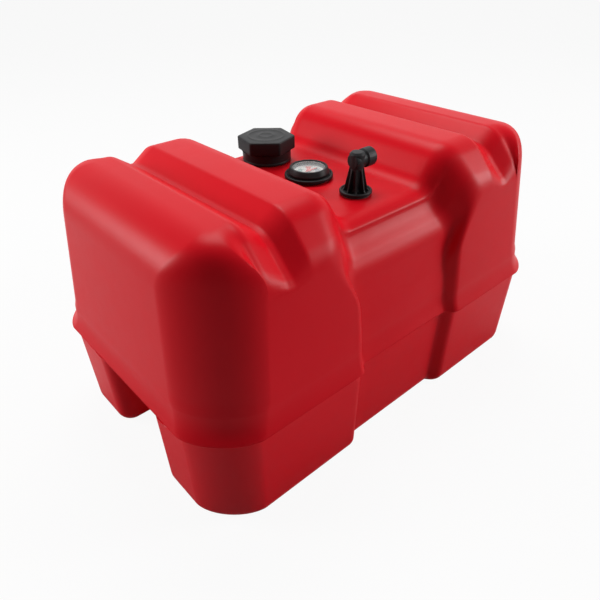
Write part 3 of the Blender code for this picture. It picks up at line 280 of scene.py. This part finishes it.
def ring_table(knots, fine):
    """Ring values, one row for each level: the ground's round, the lower wall with the
    hand-hold's roof, the lip, the flare, the upper wall, and the shoulder."""
    rows = []

    def add(end, end_height, side, side_height, corner, recess=1.0, fall=0.0, groove=0.0,
            grip=0.0, fillet=0.0, foot=None, step=None):
        """Adds rings; a value given once stands for all of them."""
        count = len(np.atleast_1d(end))
        base_foot, base_step = recess_place(np.broadcast_to(side_height, count))
        foot = base_foot if foot is None else foot
        step = base_step if step is None else step
        values = (end, end_height, side, side_height, corner, foot, step, recess, fall,
                  groove, grip, fillet)
        rows.append(np.stack([np.broadcast_to(value, count) for value in values], -1))

    def even_ring(inset, height, corner, **more):
        """Adds rings that stand in by the same inset all round."""
        add(half_length - inset, height, half_width - inset, height, corner - inset / 2, **more)

    angle = np.linspace(0, math.pi / 2, 2 * fine)
    height = bottom_radius * (1 - np.cos(angle))
    fillet = bottom_radius * (1 - np.sin(angle))
    even_ring(lower_inset(height) + fillet, height, lower_corner_radius, grip=1.0, fillet=fillet)
    height = np.linspace(bottom_radius, grip_height, fine)[1:]
    even_ring(lower_inset(height), height, lower_corner_radius, grip=1.0)
    share = np.linspace(0, 1, 2 * fine)[1:]
    height = grip_height + grip_roof_radius * share ** 2
    even_ring(lower_inset(height), height, lower_corner_radius, grip=(1 - share) ** 2)
    under = seam_height - lip_thickness / 2
    over = seam_height + lip_thickness / 2
    height = np.linspace(grip_height + grip_roof_radius, under - lip_root_gap, fine)[1:]
    even_ring(lower_inset(height), height, lower_corner_radius)
    # Lip: inset from its edge, height, and share of its own corner radius
    lip = np.array([
        (lower_inset(under) - 0.0006, under - 0.0003, 0.0), (0.0018, under, 1.0),
        (0.0010, under + 0.0003, 1.0), (0.0007, under + 0.0010, 1.0),
        (0.0005, seam_height - 0.0004, 1.0), (0.0, seam_height - 0.0002, 1.0),
        (0.0, seam_height + 0.0002, 1.0), (0.0005, seam_height + 0.0004, 1.0),
        (0.0007, over - 0.0008, 1.0), (0.0010, over - 0.0002, 1.0),
    ])
    corner = lower_corner_radius + (lip_corner_radius - lower_corner_radius) * lip[:, 2]
    even_ring(lip[:, 0], lip[:, 1], corner)
    share = np.linspace(0, 1, 3 * fine)[1:]
    top_inset = lip_overhang + flare_height * math.tan(upper_draft)
    height = over + (seam_height + flare_height - over) * share
    inset = lip_face_inset + (top_inset - lip_face_inset) * (1 - (1 - share) ** flare_power)
    corner = lip_corner_radius + (
        upper_corner_radius - lip_corner_radius) * share ** flare_corner_power
    even_ring(inset, height, corner)
    shares = np.linspace(0, 1, 7 * fine)
    end, side = shoulder_rows(shares)
    share = np.linspace(0, 1, 3 * fine)[1:-1]
    low = seam_height + flare_height
    lean = math.tan(upper_draft)
    end_height = low + (end[0, 1] - low) * share
    side_height = low + (side[0, 1] - low) * share
    add(half_length - lip_overhang - (end_height - seam_height) * lean, end_height,
        half_width - lip_overhang - (side_height - seam_height) * lean, side_height,
        upper_corner_radius, fall=share * smooth_share(share * 2))
    blend = smooth_share(shares)
    base_foot, base_step = recess_place(side[:, 1])
    steps = np.linspace(0, 1, len(recess_fade))
    recess = np.interp(shares, steps, recess_fade)
    groove = np.interp(shares, steps, groove_rise)
    top_radius = min(top_corner_radius, (end[-1, 0] - knots[-1]) / 2)
    add(end[:, 0], end[:, 1], side[:, 0], side[:, 1],
        upper_corner_radius + (top_radius - upper_corner_radius) * blend,
        recess=recess, fall=1.0, groove=groove,
        foot=base_foot + (knots[1] - base_foot) * blend,
        step=base_step + (knots[2] - knots[1] - base_step) * blend)
    return np.concatenate(rows)


def body_quarter(fine):
    """Grid of a quarter of the tank: ring levels by places from the side to the end."""
    place, saddle, groove, knots = top_line(fine + 2, fine)
    table = ring_table(knots, fine)
    (end, end_height, side, side_height, corner, foot, step, recess, fall, cut, grip,
     fillet) = [column[:, None] for column in table.T]
    zero = np.zeros_like(end)
    targets = np.concatenate([
        zero, foot, foot + step, zero + knots[3], zero + knots[4], end - corner], 1)
    sources = np.array([*knots, shoulder_rows(np.array([1.0]))[0][0, 0]])
    sources[-1] = place[-1] + just_past
    index = np.clip(np.searchsorted(sources, place, side="right") - 1, 0, len(sources) - 2)
    share = (place - sources[index]) / (sources[index + 1] - sources[index])
    x = targets[:, index] * (1 - share) + targets[:, index + 1] * share
    roundness = smooth_share((place - knots[4]) / (place[-1] - knots[4]))
    end_side = end - half_length + half_width
    level = side_height + (end_height - side_height) * roundness
    y = side + (end_side - side) * roundness - recess_depth * recess * saddle / deck_drop
    z = level - saddle * fall - groove * cut
    sides = np.stack([x, y + 0 * x, z + 0 * x], -1)
    angle = np.linspace(0, math.pi / 2, 6 * fine)[1:]
    along = 1 - np.sin(angle) ** corner_flatness
    across = 1 - np.maximum(np.cos(angle), 0) ** corner_flatness
    corners = np.stack([end - corner * along, end_side - corner * across,
                        end_height + 0 * along * corner], -1)
    start = end_side - corner
    width = grip_half_width + fillet
    mouth = np.minimum(grip_mouth_radius - fillet, start - width - least_gap)
    inner = np.minimum(grip_inner_radius + fillet, width - least_gap)
    back = half_length - grip_depth - fillet
    angle = np.linspace(0, math.pi / 2, 4 * fine)
    mouth_x = end - mouth * (1 - np.cos(angle))
    mouth_y = width + mouth * (1 - np.sin(angle))
    inner_x = back + inner * (1 - np.sin(angle))
    inner_y = width - inner * (1 - np.cos(angle))
    steps = np.linspace(0, 1, 2 * fine)[1:]
    flank_x = mouth_x[:, -1:] + (inner_x[:, :1] - mouth_x[:, -1:]) * steps
    deep_x = np.concatenate([end, mouth_x, flank_x, inner_x[:, 1:], back + 0 * steps], 1)
    deep_y = np.concatenate([start, mouth_y, width + 0 * steps, inner_y[:, 1:],
                             inner_y[:, -1:] * (1 - steps)], 1)
    flat_y = start * (1 - np.linspace(0, 1, deep_x.shape[1]))
    row_x = end + (deep_x - end) * grip
    row_y = flat_y + (deep_y - flat_y) * grip
    ends = np.stack([row_x, row_y, end_height + 0 * row_x], -1)
    return np.concatenate([sides, corners, ends[:, 1:]], 1), len(place)


def grid_faces(rows, columns, closed):
    """Quads of a grid whose vertices run row by row, the last column joined if closed."""
    low = np.arange(rows - 1)[:, None] * columns
    index = np.arange(columns if closed else columns - 1)
    after = (index + 1) % columns
    quads = np.stack([low + index, low + after, low + columns + after, low + columns + index], -1)
    return quads.reshape(-1, 4)


def mesh_piece(name, vertices, faces, material, crease):
    """A piece from arrays: smooth, with sharp edges above the crease angle."""
    mesh = bpy.data.meshes.new(name)
    mesh.from_pydata(np.asarray(vertices).tolist(), [], faces)
    solid = bmesh.new()
    solid.from_mesh(mesh)
    bmesh.ops.remove_doubles(solid, verts=solid.verts, dist=0.000005)
    bmesh.ops.recalc_face_normals(solid, faces=solid.faces)
    solid.to_mesh(mesh)
    solid.free()
    mesh.shade_smooth()
    mesh.set_sharp_from_angle(angle=math.radians(crease))
    mesh.materials.append(material)
    item = bpy.data.objects.new(name, mesh)
    bpy.context.scene.collection.objects.link(item)
    return item


def body_faces(fine, across):
    """Whole skin of the tank: rings all round, ruled lines across its top, flat ends."""
    quarter, last = body_quarter(fine)
    back = (quarter * (1, -1, 1))[:, ::-1]
    ring = np.concatenate([quarter, back[:, 1:], (quarter * (-1, -1, 1))[:, 1:],
                           (quarter * (-1, 1, 1))[:, ::-1][:, 1:-1]], 1)
    rows, columns = ring.shape[:2]
    faces = grid_faces(rows, columns, True).tolist()
    vertices = [ring.reshape(-1, 3)]
    top = ring[-1]
    half = quarter[-1, :last + 1]
    line = np.concatenate([(half * (-1, 1, 1))[::-1][:-1], half])
    share = np.linspace(1, -1, across)[:, None]
    deck = np.stack([np.broadcast_to(line[:, 0], (across, len(line))), line[:, 1] * share,
                     np.broadcast_to(line[:, 2], (across, len(line)))], -1)
    offset = rows * columns
    faces += (grid_faces(across, len(line), False) + offset).tolist()
    vertices.append(deck.reshape(-1, 3))
    # Faces that close the top between the rings and the ruled lines, then the ground's
    count = quarter.shape[1]
    base = (rows - 1) * columns
    edge_low = list(range(base + last, base + 2 * count - 1 - last))
    side_points = [offset + row * len(line) + len(line) - 1 for row in range(across)]
    faces.append(edge_low + side_points[::-1][1:-1])
    other_points = [offset + row * len(line) for row in range(across)]
    start = base + 2 * (count - 1) + last
    stop = base + 4 * (count - 1) - last
    faces.append(list(range(start, stop + 1)) + other_points[1:-1])
    faces.append(list(range(columns))[::-1])
    return np.concatenate(vertices), faces


def rounded(corners, radii, steps=6):
    """Chain of straight runs with its inner corners turned into arcs of these radii."""
    shares = np.linspace(0, 1, steps)
    points = [np.array([corners[0]], float)]
    for index, radius in enumerate(radii):
        if radius:
            points.append(arc_points(*corners[index:index + 3], radius, shares))
        else:
            points.append(np.array([corners[index + 1]], float))
    points.append(np.array([corners[-1]], float))
    return np.concatenate(points)


def turned(profile, middle, count=96, reach=None):
    """Surface of revolution: each point of radius and height carried round the middle.

    reach, a function of angle and height, gives what is added to the radius there.
    """
    angle = np.linspace(0, 2 * math.pi, count, endpoint=False)
    radius, height = (column[:, None] for column in np.asarray(profile, float).T)
    if reach:
        radius = radius + reach(angle, height, radius)
    rows = np.stack([middle[0] + radius * np.cos(angle), middle[1] + radius * np.sin(angle),
                     height + 0 * angle], -1)
    return rows.reshape(-1, 3), grid_faces(len(profile), count, True)


def joined(*surfaces):
    """Several surfaces as one list of vertices and one of faces."""
    starts = np.cumsum([0] + [len(vertices) for vertices, _ in surfaces])
    vertices = np.concatenate([vertices for vertices, _ in surfaces])
    faces = np.concatenate([faces + start for (_, faces), start in zip(surfaces, starts)])
    return vertices, faces.tolist()


def above_deck(profile):
    """Profile of heights above the deck, as heights above the ground."""
    return np.asarray(profile, float) + (0, deck_height)


def hexagon(angle, tip):
    """Radius of a hexagon with round corners: its flats' chord, or a corner's arc."""
    off = (angle - cap_turn + math.pi / 6) % (math.pi / 3) - math.pi / 6
    centre = tip - cap_corner_round
    flat = (centre * math.cos(math.pi / 6) + cap_corner_round) / np.cos(math.pi / 6 - np.abs(off))
    inside = np.maximum(cap_corner_round ** 2 - (centre * np.sin(off)) ** 2, 0)
    corner = centre * np.cos(off) + np.sqrt(inside)
    turn = math.atan2(cap_corner_round / 2, centre + cap_corner_round * math.cos(math.pi / 6))
    return np.where(np.abs(off) < turn, corner, flat)


def cap_surface():
    """Cap: rows that blend from circles on its crown to the hexagon of the grip, then
    the round skirt with its bead, its foot, and the bore up to its roof."""
    count = 240
    angle = np.linspace(0, 2 * math.pi, count, endpoint=False)
    crown = [(0.0, 0.0), (0.0070, 0.0), (0.0078, 0.0004), (0.0098, 0.0004), (0.0106, 0.0),
             (0.0225, -0.0001), (0.0233, 0.0003), (0.0243, 0.0003), (cap_crown_edge, -0.0001)]
    rows = [(radius + 0 * angle, cap_height - cap_crown_drop + rise + 0 * angle)
            for radius, rise in crown]
    grip = hexagon(angle, cap_tip)
    inner = hexagon(angle, cap_tip - cap_top_inset)
    for share in (0.35, 0.7):
        rows.append((cap_crown_edge + (inner - cap_crown_edge) * share,
                     cap_height - cap_edge_drop - cap_edge_slope * share + 0 * angle))
    for lean in np.linspace(math.pi / 2, 0, 7):
        rows.append((grip - cap_top_round * (1 - math.cos(lean)),
                     cap_height - cap_round_drop + cap_top_round * math.sin(lean) + 0 * angle))
    rows.append((grip, cap_grip_low + cap_foot_round + 0 * angle))
    for lean in np.linspace(0, -math.pi / 2, 5)[1:]:
        rise = cap_foot_round + cap_foot_round * math.sin(lean)
        rows.append((grip - cap_foot_round * (1 - math.cos(lean)), cap_grip_low + rise + 0 * angle))
    wall_radius = cap_skirt - cap_skirt_inset
    above, middle, below = cap_groove_heights
    skirt = rounded([(cap_skirt + cap_skirt_flare, cap_grip_low), (wall_radius, cap_grip_low),
                     (wall_radius, above), (cap_skirt - cap_groove_inset, middle),
                     (wall_radius, below), (cap_skirt, cap_foot),
                     (cap_bore, cap_foot), (cap_bore, cap_roof), (0.0, cap_roof)],
                    [0.0009, 0.0004, 0.0004, 0.0004, 0.0007, 0.0007, 0.0012], 4)
    rows += [(radius + 0 * angle, height + 0 * angle) for radius, height in skirt]
    radius, height = (np.stack(column) for column in zip(*rows))
    vertices = np.stack([cap_middle[0] + radius * np.cos(angle),
                         cap_middle[1] + radius * np.sin(angle), deck_height + height], -1)
    return vertices.reshape(-1, 3), grid_faces(len(rows), count, True)


def neck_surface():
    """Filler neck: a tube whose outer face carries a helical ridge, flared at its foot."""
    height = np.linspace(neck_height - 0.0015, 0.0, 64)
    flare = neck_flare * np.clip(1 - height / neck_flare, 0, 1) ** 2
    outer = np.stack([neck_core + flare, height], -1)
    rim = [(neck_bore + 0.0008, neck_height), (neck_core - 0.0010, neck_height),
           (neck_core - 0.0003, neck_height - 0.0004)]
    inner = [(neck_bore, -wall), (neck_bore, neck_height - 0.0008)]
    profile = np.concatenate([inner, rim, outer, [(neck_core + neck_flare, -wall), inner[0]]])

    def ridge(angle, level, radius):
        """Height of the thread over the core, which fades out at both of its ends."""
        phase = ((level - deck_height) / thread_pitch - angle / (2 * math.pi)) % 1
        tooth = smooth_share(1.35 - np.abs(phase - 0.5) * 4.4)
        above = level - deck_height
        starts = smooth_share((above - 0.0035) / 0.002)
        stops = smooth_share((neck_height - 0.001 - above) / 0.003)
        is_outside = radius > neck_core - 0.0001
        return (neck_thread - neck_core) * tooth * starts * stops * is_outside

    return turned(above_deck(profile), cap_middle, 144, ridge)


def gauge_flange_surface():
    """Gauge body: a flange with a round lip and a groove, its cup, web and spigot."""
    corners = [(0.0226, 0.0104), (0.0226, 0.0060), (0.0268, 0.0060), (0.0272, 0.0046),
               (0.0280, 0.0046), (0.0286, gauge_flange_high),
               (gauge_flange_radius, gauge_flange_high), (gauge_flange_radius, gauge_flange_low),
               (0.0214, gauge_flange_low), (0.0214, -0.0180), (0.0172, -0.0180),
               (0.0172, gauge_flange_low), (0.0, gauge_flange_low)]
    outer = rounded(corners, [0, 0.0003, 0.0005, 0.0004, 0.0010, 0.0019, 0.0008, 0.0004, 0.0004,
                              0.0004, 0.0004], 7)
    inner = rounded([(0.0, 0.0038), (0.0195, 0.0038), (0.0195, 0.0072), (0.0203, 0.0072),
                     (0.0203, 0.0104), (0.0226, 0.0104)], [0.0004, 0, 0, 0.0004], 4)
    return turned(above_deck(np.concatenate([inner, outer[1:]])), gauge_middle, 120)


def bezel_surface():
    """Bezel: a cone between its foot and its lip, with both edges rounded."""
    corners = [(0.0214, 0.0137), (0.0214, bezel_top), (0.0238, bezel_top), (0.0262, 0.0088),
               (0.0262, bezel_low), (0.0230, bezel_low), (0.0230, 0.0137), (0.0214, 0.0137)]
    return turned(above_deck(rounded(corners, [0.0005, 0.0009, 0.0012, 0.0004, 0.0003, 0.0003], 6)),
                  gauge_middle, 120)


def lens_surface():
    """Lens: a shallow dome over a flat foot, with a step for the bezel's lip."""
    share = np.linspace(0, 1, 14)
    dome = np.stack([0.0207 * share, 0.0149 - 0.0008 * share ** 2], -1)
    rim = [(0.0211, 0.0138), (0.0211, 0.0121), (0.0227, 0.0121), (0.0227, lens_low),
           (0.0, lens_low)]
    return turned(above_deck(np.concatenate([dome, rim])), gauge_middle, 96)


def dial_surface():
    """Dial: a thin disc with a raised rim and a hole for the pointer's shaft."""
    corners = [(0.0022, dial_low), (0.0022, dial_high - 0.0002), (0.0183, dial_high - 0.0002),
               (0.0187, dial_high + 0.0006), (0.0197, dial_high + 0.0006), (0.0197, dial_low),
               (0.0022, dial_low)]
    return turned(above_deck(rounded(corners, [0, 0.0003, 0.0003, 0.0003, 0.0002], 4)),
                  gauge_middle, 120)


def elbow_flange_surface():
    """Elbow's foot: a disc with a round lip, and the spigot under it."""
    edge = elbow_flange_radius
    corners = [(0.0060, elbow_flange_high - 0.0006), (edge - 0.0034, elbow_flange_high - 0.0006),
               (edge - 0.0024, elbow_flange_high + 0.0010), (edge, elbow_flange_high + 0.0010),
               (edge, elbow_low), (0.0104, elbow_low), (0.0104, -0.0160), (0.0052, -0.0160),
               (0.0052, elbow_low + 0.0006), (0.0060, elbow_flange_high - 0.0006)]
    return turned(above_deck(rounded(corners, [0.0008, 0.0006, 0.0013, 0.0009, 0.0004, 0.0005,
                                               0.0003, 0], 6)), pickup_middle, 96)


def tower_surface():
    """Elbow's tower: a core with eight tapering fins whose sides are parallel.

    At an angle a off a fin's middle, its side lies at half its thickness / sin a. With s
    that side's share of the way from core to tip, the radius has the share
    s / (1 + s^8)^(1/8), which follows s and bends over to 1 at the tip.
    """
    height = np.concatenate([[elbow_low + 0.0008],
                             np.linspace(elbow_flange_high - 0.0006, tower_high, 22)])
    share = np.clip((height - elbow_flange_high) / (tower_high - elbow_flange_high), 0, 1)[:, None]
    foot = fin_foot_flare * np.clip(1 - share * 9, 0, 1) ** 2
    tip = fin_tip_low + foot + (fin_tip_high - fin_tip_low) * share
    core = tower_core + tower_core_gain * share + foot
    side = np.concatenate([np.linspace(0, 0.11, 4), np.geomspace(0.13, math.pi / fin_count, 9)])
    side = np.concatenate([-side[::-1][:-1], side])
    spacing = 2 * math.pi / fin_count
    middle = spacing * np.arange(fin_count)[:, None]
    angle = (middle + side[:-1]).ravel()
    off = np.abs((angle + spacing / 2) % spacing - spacing / 2)
    flank = fin_half_thickness / np.sin(np.maximum(off, 0.01))
    reach = np.maximum((flank - core) / (tip - core), 0)
    radius = core + (tip - core) * reach / (1 + reach ** fin_softness) ** (1 / fin_softness)
    rows = np.stack([pickup_middle[0] + radius * np.cos(angle),
                     pickup_middle[1] + radius * np.sin(angle),
                     deck_height + height[:, None] + 0 * radius], -1)
    return rows.reshape(-1, 3), grid_faces(len(height), len(angle), True)


def head_surface():
    """Elbow's head: a barrel that narrows to the tower and closes in a flat crown."""
    corners = [(0.0, 0.0296), (0.0078, 0.0296), (0.0086, 0.0330), (0.0091, 0.0370),
               (0.0091, 0.0488), (0.0068, 0.0514), (0.0, 0.0514)]
    return turned(above_deck(rounded(corners, [0.0006, 0.0030, 0.0030, 0.0012, 0.0010], 6)),
                  pickup_middle, 72)


def horn_surface():
    """Horn: turned about its own axis toward +X, ribbed round its collar, and bored."""
    start = horn_reach - horn_collar_length
    socket_floor = horn_reach - horn_socket_depth
    corners = [(0.0, -0.0082), (0.0084, -0.0082), (0.0092, -0.0040), (0.0092, start - 0.0012),
               (horn_collar, start), (horn_collar, horn_reach), (0.0064, horn_reach),
               (horn_socket_radius, socket_floor), (horn_bore_radius, socket_floor),
               (horn_bore_radius, 0.0040), (0.0, 0.0040)]
    profile = rounded(corners, [0.0020, 0.0020, 0.0008, 0.0010, 0.0016, 0.0006, 0.0002, 0.0002,
                                0.0002], 6)
    dense = np.linspace(start + 0.0006, horn_reach - 0.0024, 10)
    above = np.flatnonzero(profile[:, 1] > start + 0.0004)[0]
    collar = np.stack([0 * dense + horn_collar, dense], -1)
    profile = np.concatenate([profile[:above], collar, profile[above:]])

    def rib(angle, level, radius):
        """Hollows between the collar's ribs, as a cosine round the collar."""
        starts = smooth_share((level - start) / 0.0014)
        stops = smooth_share((horn_reach - 0.0014 - level) / 0.0018)
        wave = (0.5 - 0.5 * np.cos(angle * horn_ribs)) ** 0.7
        return -horn_rib_depth * wave * (starts * stops) * (radius > 0.0104)

    vertices, faces = turned(profile, (0, 0), 192, rib)
    level = deck_height + horn_height
    along = np.stack([pickup_middle[0] + vertices[:, 2], pickup_middle[1] + vertices[:, 1],
                      level - vertices[:, 0]], -1)
    return along, faces


class Socket:
    """A node's output, in a Python expression that adds Math nodes."""

    def __init__(self, made, link):
        self.made = made
        self.link = link

    def math(self, operation, *others):
        return self.made.node("ShaderNodeMath", {"operation": operation}, self, *others)

    def __add__(self, other):
        return self.math("ADD", other)

    def __radd__(self, other):
        return self.math("ADD", other)

    def __sub__(self, other):
        return self.math("SUBTRACT", other)

    def __rsub__(self, other):
        return self.made.node("ShaderNodeMath", {"operation": "SUBTRACT"}, other, self)

    def __mul__(self, other):
        return self.math("MULTIPLY", other)

    def __rmul__(self, other):
        return self.math("MULTIPLY", other)


class Nodes:
    """The nodes of a material or of the world."""

    def __init__(self, owner):
        owner.use_nodes = True
        self.tree = owner.node_tree

    def node(self, kind, settings, *values, output=0, **named):
        """Makes a node, sets it up, fills its sockets and gives back one output."""
        item = self.tree.nodes.new(kind)
        for key, value in settings.items():
            setattr(item, key, value)
        for key, value in [*enumerate(values), *named.items()]:
            socket = item.inputs[key if isinstance(key, int) else key.replace("_", " ")]
            if isinstance(value, Socket):
                self.tree.links.new(value.link, socket)
            elif value is not None:
                socket.default_value = value
        return Socket(self, item.outputs[output])

    def outputs(self, kind, *values):
        """Makes a node and gives back all its outputs by name."""
        item = self.node(kind, {}, *values).link.node
        return {socket.name: Socket(self, socket) for socket in item.outputs}

    def end_in(self, node, socket, value):
        """Links a value to a socket of a node that is already there."""
        self.tree.links.new(value.link, self.tree.nodes[node].inputs[socket])


class Made(Nodes):
    """A material being made: its shader and the nodes that feed it."""

    def __init__(self, name, colour, roughness, **fixed):
        self.material = bpy.data.materials.new(name)
        super().__init__(self.material)
        self.shader = self.tree.nodes["Principled BSDF"]
        self.shader.inputs["Base Color"].default_value = (*colour, 1.0)
        self.shader.inputs["Roughness"].default_value = roughness
        self.material.diffuse_color = (*colour, 1.0)
        for socket, value in fixed.items():
            self.shader.inputs[socket.replace("_", " ")].default_value = value

    def position(self):
        return self.node("ShaderNodeTexCoord", {}, output="Object")

    def noise(self, scale, detail):
        return self.node("ShaderNodeTexNoise", {}, Vector=self.position(), Scale=scale,
                         Detail=detail, output="Fac")

    def mix(self, share, first, second):
        return self.node("ShaderNodeMix", {"data_type": "RGBA"}, share, None, None, None, None,
                         None, first, second, output=2)

    def feed(self, socket, value):
        self.tree.links.new(value.link, self.shader.inputs[socket])

    def bump(self, height, distance, strength):
        normal = self.node("ShaderNodeBump", {}, Strength=strength, Distance=distance,
                           Height=height)
        self.feed("Normal", normal)


def moulded_red():
    """Satin polyethylene: a fine even grain, faint flow streaks and scuffs."""
    made = Made("moulded_red", (0.56, 0.005, 0.010), 0.31, Specular_IOR_Level=0.10)
    grain = made.noise(2600.0, 2.0)
    cloud = made.noise(9.0, 3.0)
    fine = made.noise(60.0, 4.0)
    colour = made.mix(cloud, (0.56, 0.002, 0.008, 1), (0.63, 0.003, 0.012, 1))
    made.feed("Base Color", colour)
    made.feed("Roughness", 0.30 + cloud * 0.06 + fine * 0.08)
    made.bump(grain * 0.6 + fine * 0.4, 0.00006, 0.6)
    return made.material


def moulded_black():
    """Black polypropylene with a fine spark-eroded grain."""
    roughness = 0.42
    made = Made("moulded_black", (0.012, 0.012, 0.013), roughness, Specular_IOR_Level=0.14)
    grain = made.noise(3200.0, 2.0)
    cloud = made.noise(40.0, 3.0)
    made.feed("Roughness", roughness - 0.05 + cloud * 0.12)
    made.bump(grain, 0.00004, 0.5)
    return made.material


ticks_round = 36


def dial_print():
    """Gauge face: pale card with a red wedge, two scale bands and fine ticks round them.

    Distance and direction are taken from the dial's middle, and each band is where both
    lie between its limits.
    """
    card = (0.60, 0.60, 0.57)
    made = Made("dial_print", card, 0.5)
    axes = made.outputs("ShaderNodeSeparateXYZ", made.position())
    x = axes["X"] - gauge_middle[0]
    y = axes["Y"] - gauge_middle[1]
    radius = (x * x + y * y).math("SQRT")
    turn = y.math("ARCTAN2", x)

    def band(value, low, high):
        """1 where the value lies between both limits, else 0."""
        return value.math("GREATER_THAN", low) * value.math("LESS_THAN", high)

    ring = band(radius, 0.0085, 0.0150)
    near_band = ring * band(turn, math.radians(95), math.radians(172))
    far_band = ring * band(turn, math.radians(-76), math.radians(5))
    wedge = band(radius, 0.0010, 0.0172) * band(turn, math.radians(34), math.radians(64))
    is_tick = (turn * (ticks_round / 2 / math.pi)).math("FRACT").math("LESS_THAN", 0.14)
    tick = is_tick * band(radius, 0.0156, 0.0174)
    colour = made.mix(near_band, (*card, 1), (0.16, 0.27, 0.25, 1))
    colour = made.mix(far_band, colour, (0.22, 0.24, 0.28, 1))
    colour = made.mix(tick, colour, (0.03, 0.03, 0.03, 1))
    made.feed("Base Color", made.mix(wedge, colour, (0.62, 0.10, 0.08, 1)))
    return made.material


def plain(name, colour, roughness, **fixed):
    """One even colour, with a faint cloud in its roughness."""
    made = Made(name, colour, roughness, **fixed)
    cloud = made.noise(220.0, 3.0)
    made.feed("Roughness", roughness - 0.04 + cloud * 0.08)
    return made.material


finishes = {
    "red_polyethylene": moulded_red(),
    "black_polypropylene": moulded_black(),
    "nitrile_rubber": plain("nitrile_rubber", (0.015, 0.015, 0.015), 0.75),
    "clear_lens": plain("clear_lens", (0.95, 0.97, 0.97), 0.07, Alpha=0.16, IOR=1.49),
    "dial_print": dial_print(),
    "pointer_red": plain("pointer_red", (0.72, 0.04, 0.04), 0.45),
    "white_acetal": plain("white_acetal", (0.72, 0.70, 0.66), 0.38),
    "stainless_wire": plain("stainless_wire", (0.60, 0.60, 0.59), 0.26, Metallic=1.0),
    "ferrite_magnet": plain("ferrite_magnet", (0.06, 0.06, 0.065), 0.55),
    "float_foam": plain("closed_cell_foam", (0.03, 0.028, 0.026), 0.8),
}
for entry in frame["record"]["subparts"]:
    item = nodes[entry["node"]]
    item.data.materials.clear()
    item.data.materials.append(finishes[entry["material_slot"]])


def place(name, surface, slot, body, *solids, crease=35.0):
    """A finished piece on its body, standing for the solids that it replaces."""
    vertices, faces = surface
    item = mesh_piece(name, vertices, faces, finishes[slot], crease)
    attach(item, body)
    if solids:
        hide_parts(*solids)


place("tank_skin", body_faces(body_spans, body_lines), "red_polyethylene", "tank", "tank_shell",
      crease=40.0)
place("filler_neck", joined(neck_surface()), "red_polyethylene", "tank")
place("cap_grip", joined(cap_surface()), "black_polypropylene", "filler_cap", "cap_shell")
place("gauge_flange", joined(gauge_flange_surface()), "black_polypropylene", "tank", "gauge_body")
place("gauge_cone", joined(bezel_surface()), "black_polypropylene", "tank", "gauge_bezel")
place("gauge_window", joined(lens_surface()), "clear_lens", "tank", "gauge_lens")
place("gauge_face", joined(dial_surface()), "dial_print", "tank", "gauge_dial")
place("outlet_elbow",
      joined(elbow_flange_surface(), tower_surface(), head_surface(), horn_surface()),
      "black_polypropylene", "tank", "pickup_elbow")

# Camera fitted to the photo: its lens, its place, and its right, down and forward directions
camera_lens = 33.12
camera_place = (-0.4601, -0.4973, 0.5623)
right = Vector((0.7447, -0.6673, -0.0109))
down = Vector((-0.3815, -0.4122, -0.8274))
forward = Vector((0.5477, 0.6203, -0.5615))
camera_data = bpy.data.cameras.new("camera")
camera_data.lens = camera_lens
camera_data.sensor_width = 36.0
camera = bpy.data.objects.new("camera", camera_data)
camera_turn = Matrix((right, -down, -forward)).transposed()
camera.matrix_world = Matrix.Translation(camera_place) @ camera_turn.to_4x4()
bpy.context.scene.collection.objects.link(camera)
bpy.context.scene.camera = camera


floor_reach = 30.0
floor_level = -0.0005
floor_glow_share = 0.93
lamp_target = Vector((0, 0, 0.15))
fill_strength = 0.05
seen_strength = 1.0


def floor():
    """Pale floor that lights as a matt surface and shows the camera mostly plain white."""
    made = Made("pale_floor", (0.62, 0.62, 0.62), 0.9)
    share = made.node("ShaderNodeLightPath", {}, output="Is Camera Ray") * floor_glow_share
    glow = made.node("ShaderNodeEmission", {})
    matt = Socket(made, made.shader.outputs[0])
    surface = made.node("ShaderNodeMixShader", {}, share, matt, glow)
    made.end_in("Material Output", "Surface", surface)
    mesh = bpy.data.meshes.new("floor")
    reach = floor_reach
    corners = [(-reach, -reach), (reach, -reach), (reach, reach), (-reach, reach)]
    mesh.from_pydata([(*corner, floor_level) for corner in corners], [], [(0, 1, 2, 3)])
    mesh.materials.append(made.material)
    item = bpy.data.objects.new("floor", mesh)
    bpy.context.scene.collection.objects.link(item)


def lamp(name, spot, size, energy):
    """Round lamp that faces the tank."""
    data = bpy.data.lights.new(name, "AREA")
    data.shape = "DISK"
    data.size = size
    data.energy = energy
    item = bpy.data.objects.new(name, data)
    item.location = spot
    item.rotation_euler = (lamp_target - Vector(spot)).to_track_quat("-Z", "Y").to_euler()
    bpy.context.scene.collection.objects.link(item)


def studio():
    """White world to the camera, in reflections and through the lens, and dim as light."""
    world = bpy.data.worlds.new("studio")
    bpy.context.scene.world = world
    made = Nodes(world)
    rays = made.outputs("ShaderNodeLightPath")
    seen = rays["Is Camera Ray"].math("MAXIMUM", rays["Is Transmission Ray"])
    seen = seen.math("MAXIMUM", rays["Is Glossy Ray"])
    made.tree.nodes["Background"].inputs["Color"].default_value = (1, 1, 1, 1)
    strength = made.node("ShaderNodeMapRange", {}, Value=seen, To_Min=fill_strength,
                         To_Max=seen_strength, output="Result")
    made.end_in("Background", "Strength", strength)


floor()
lamp("left", (-1.8, 1.5, 1.0), 1.1, 44)
lamp("top", (0.4, 0.6, 2.0), 1.2, 30)
lamp("right", (2.0, -1.6, 1.1), 1.1, 50)
studio()
bpy.context.scene.view_settings.view_transform = "Standard"
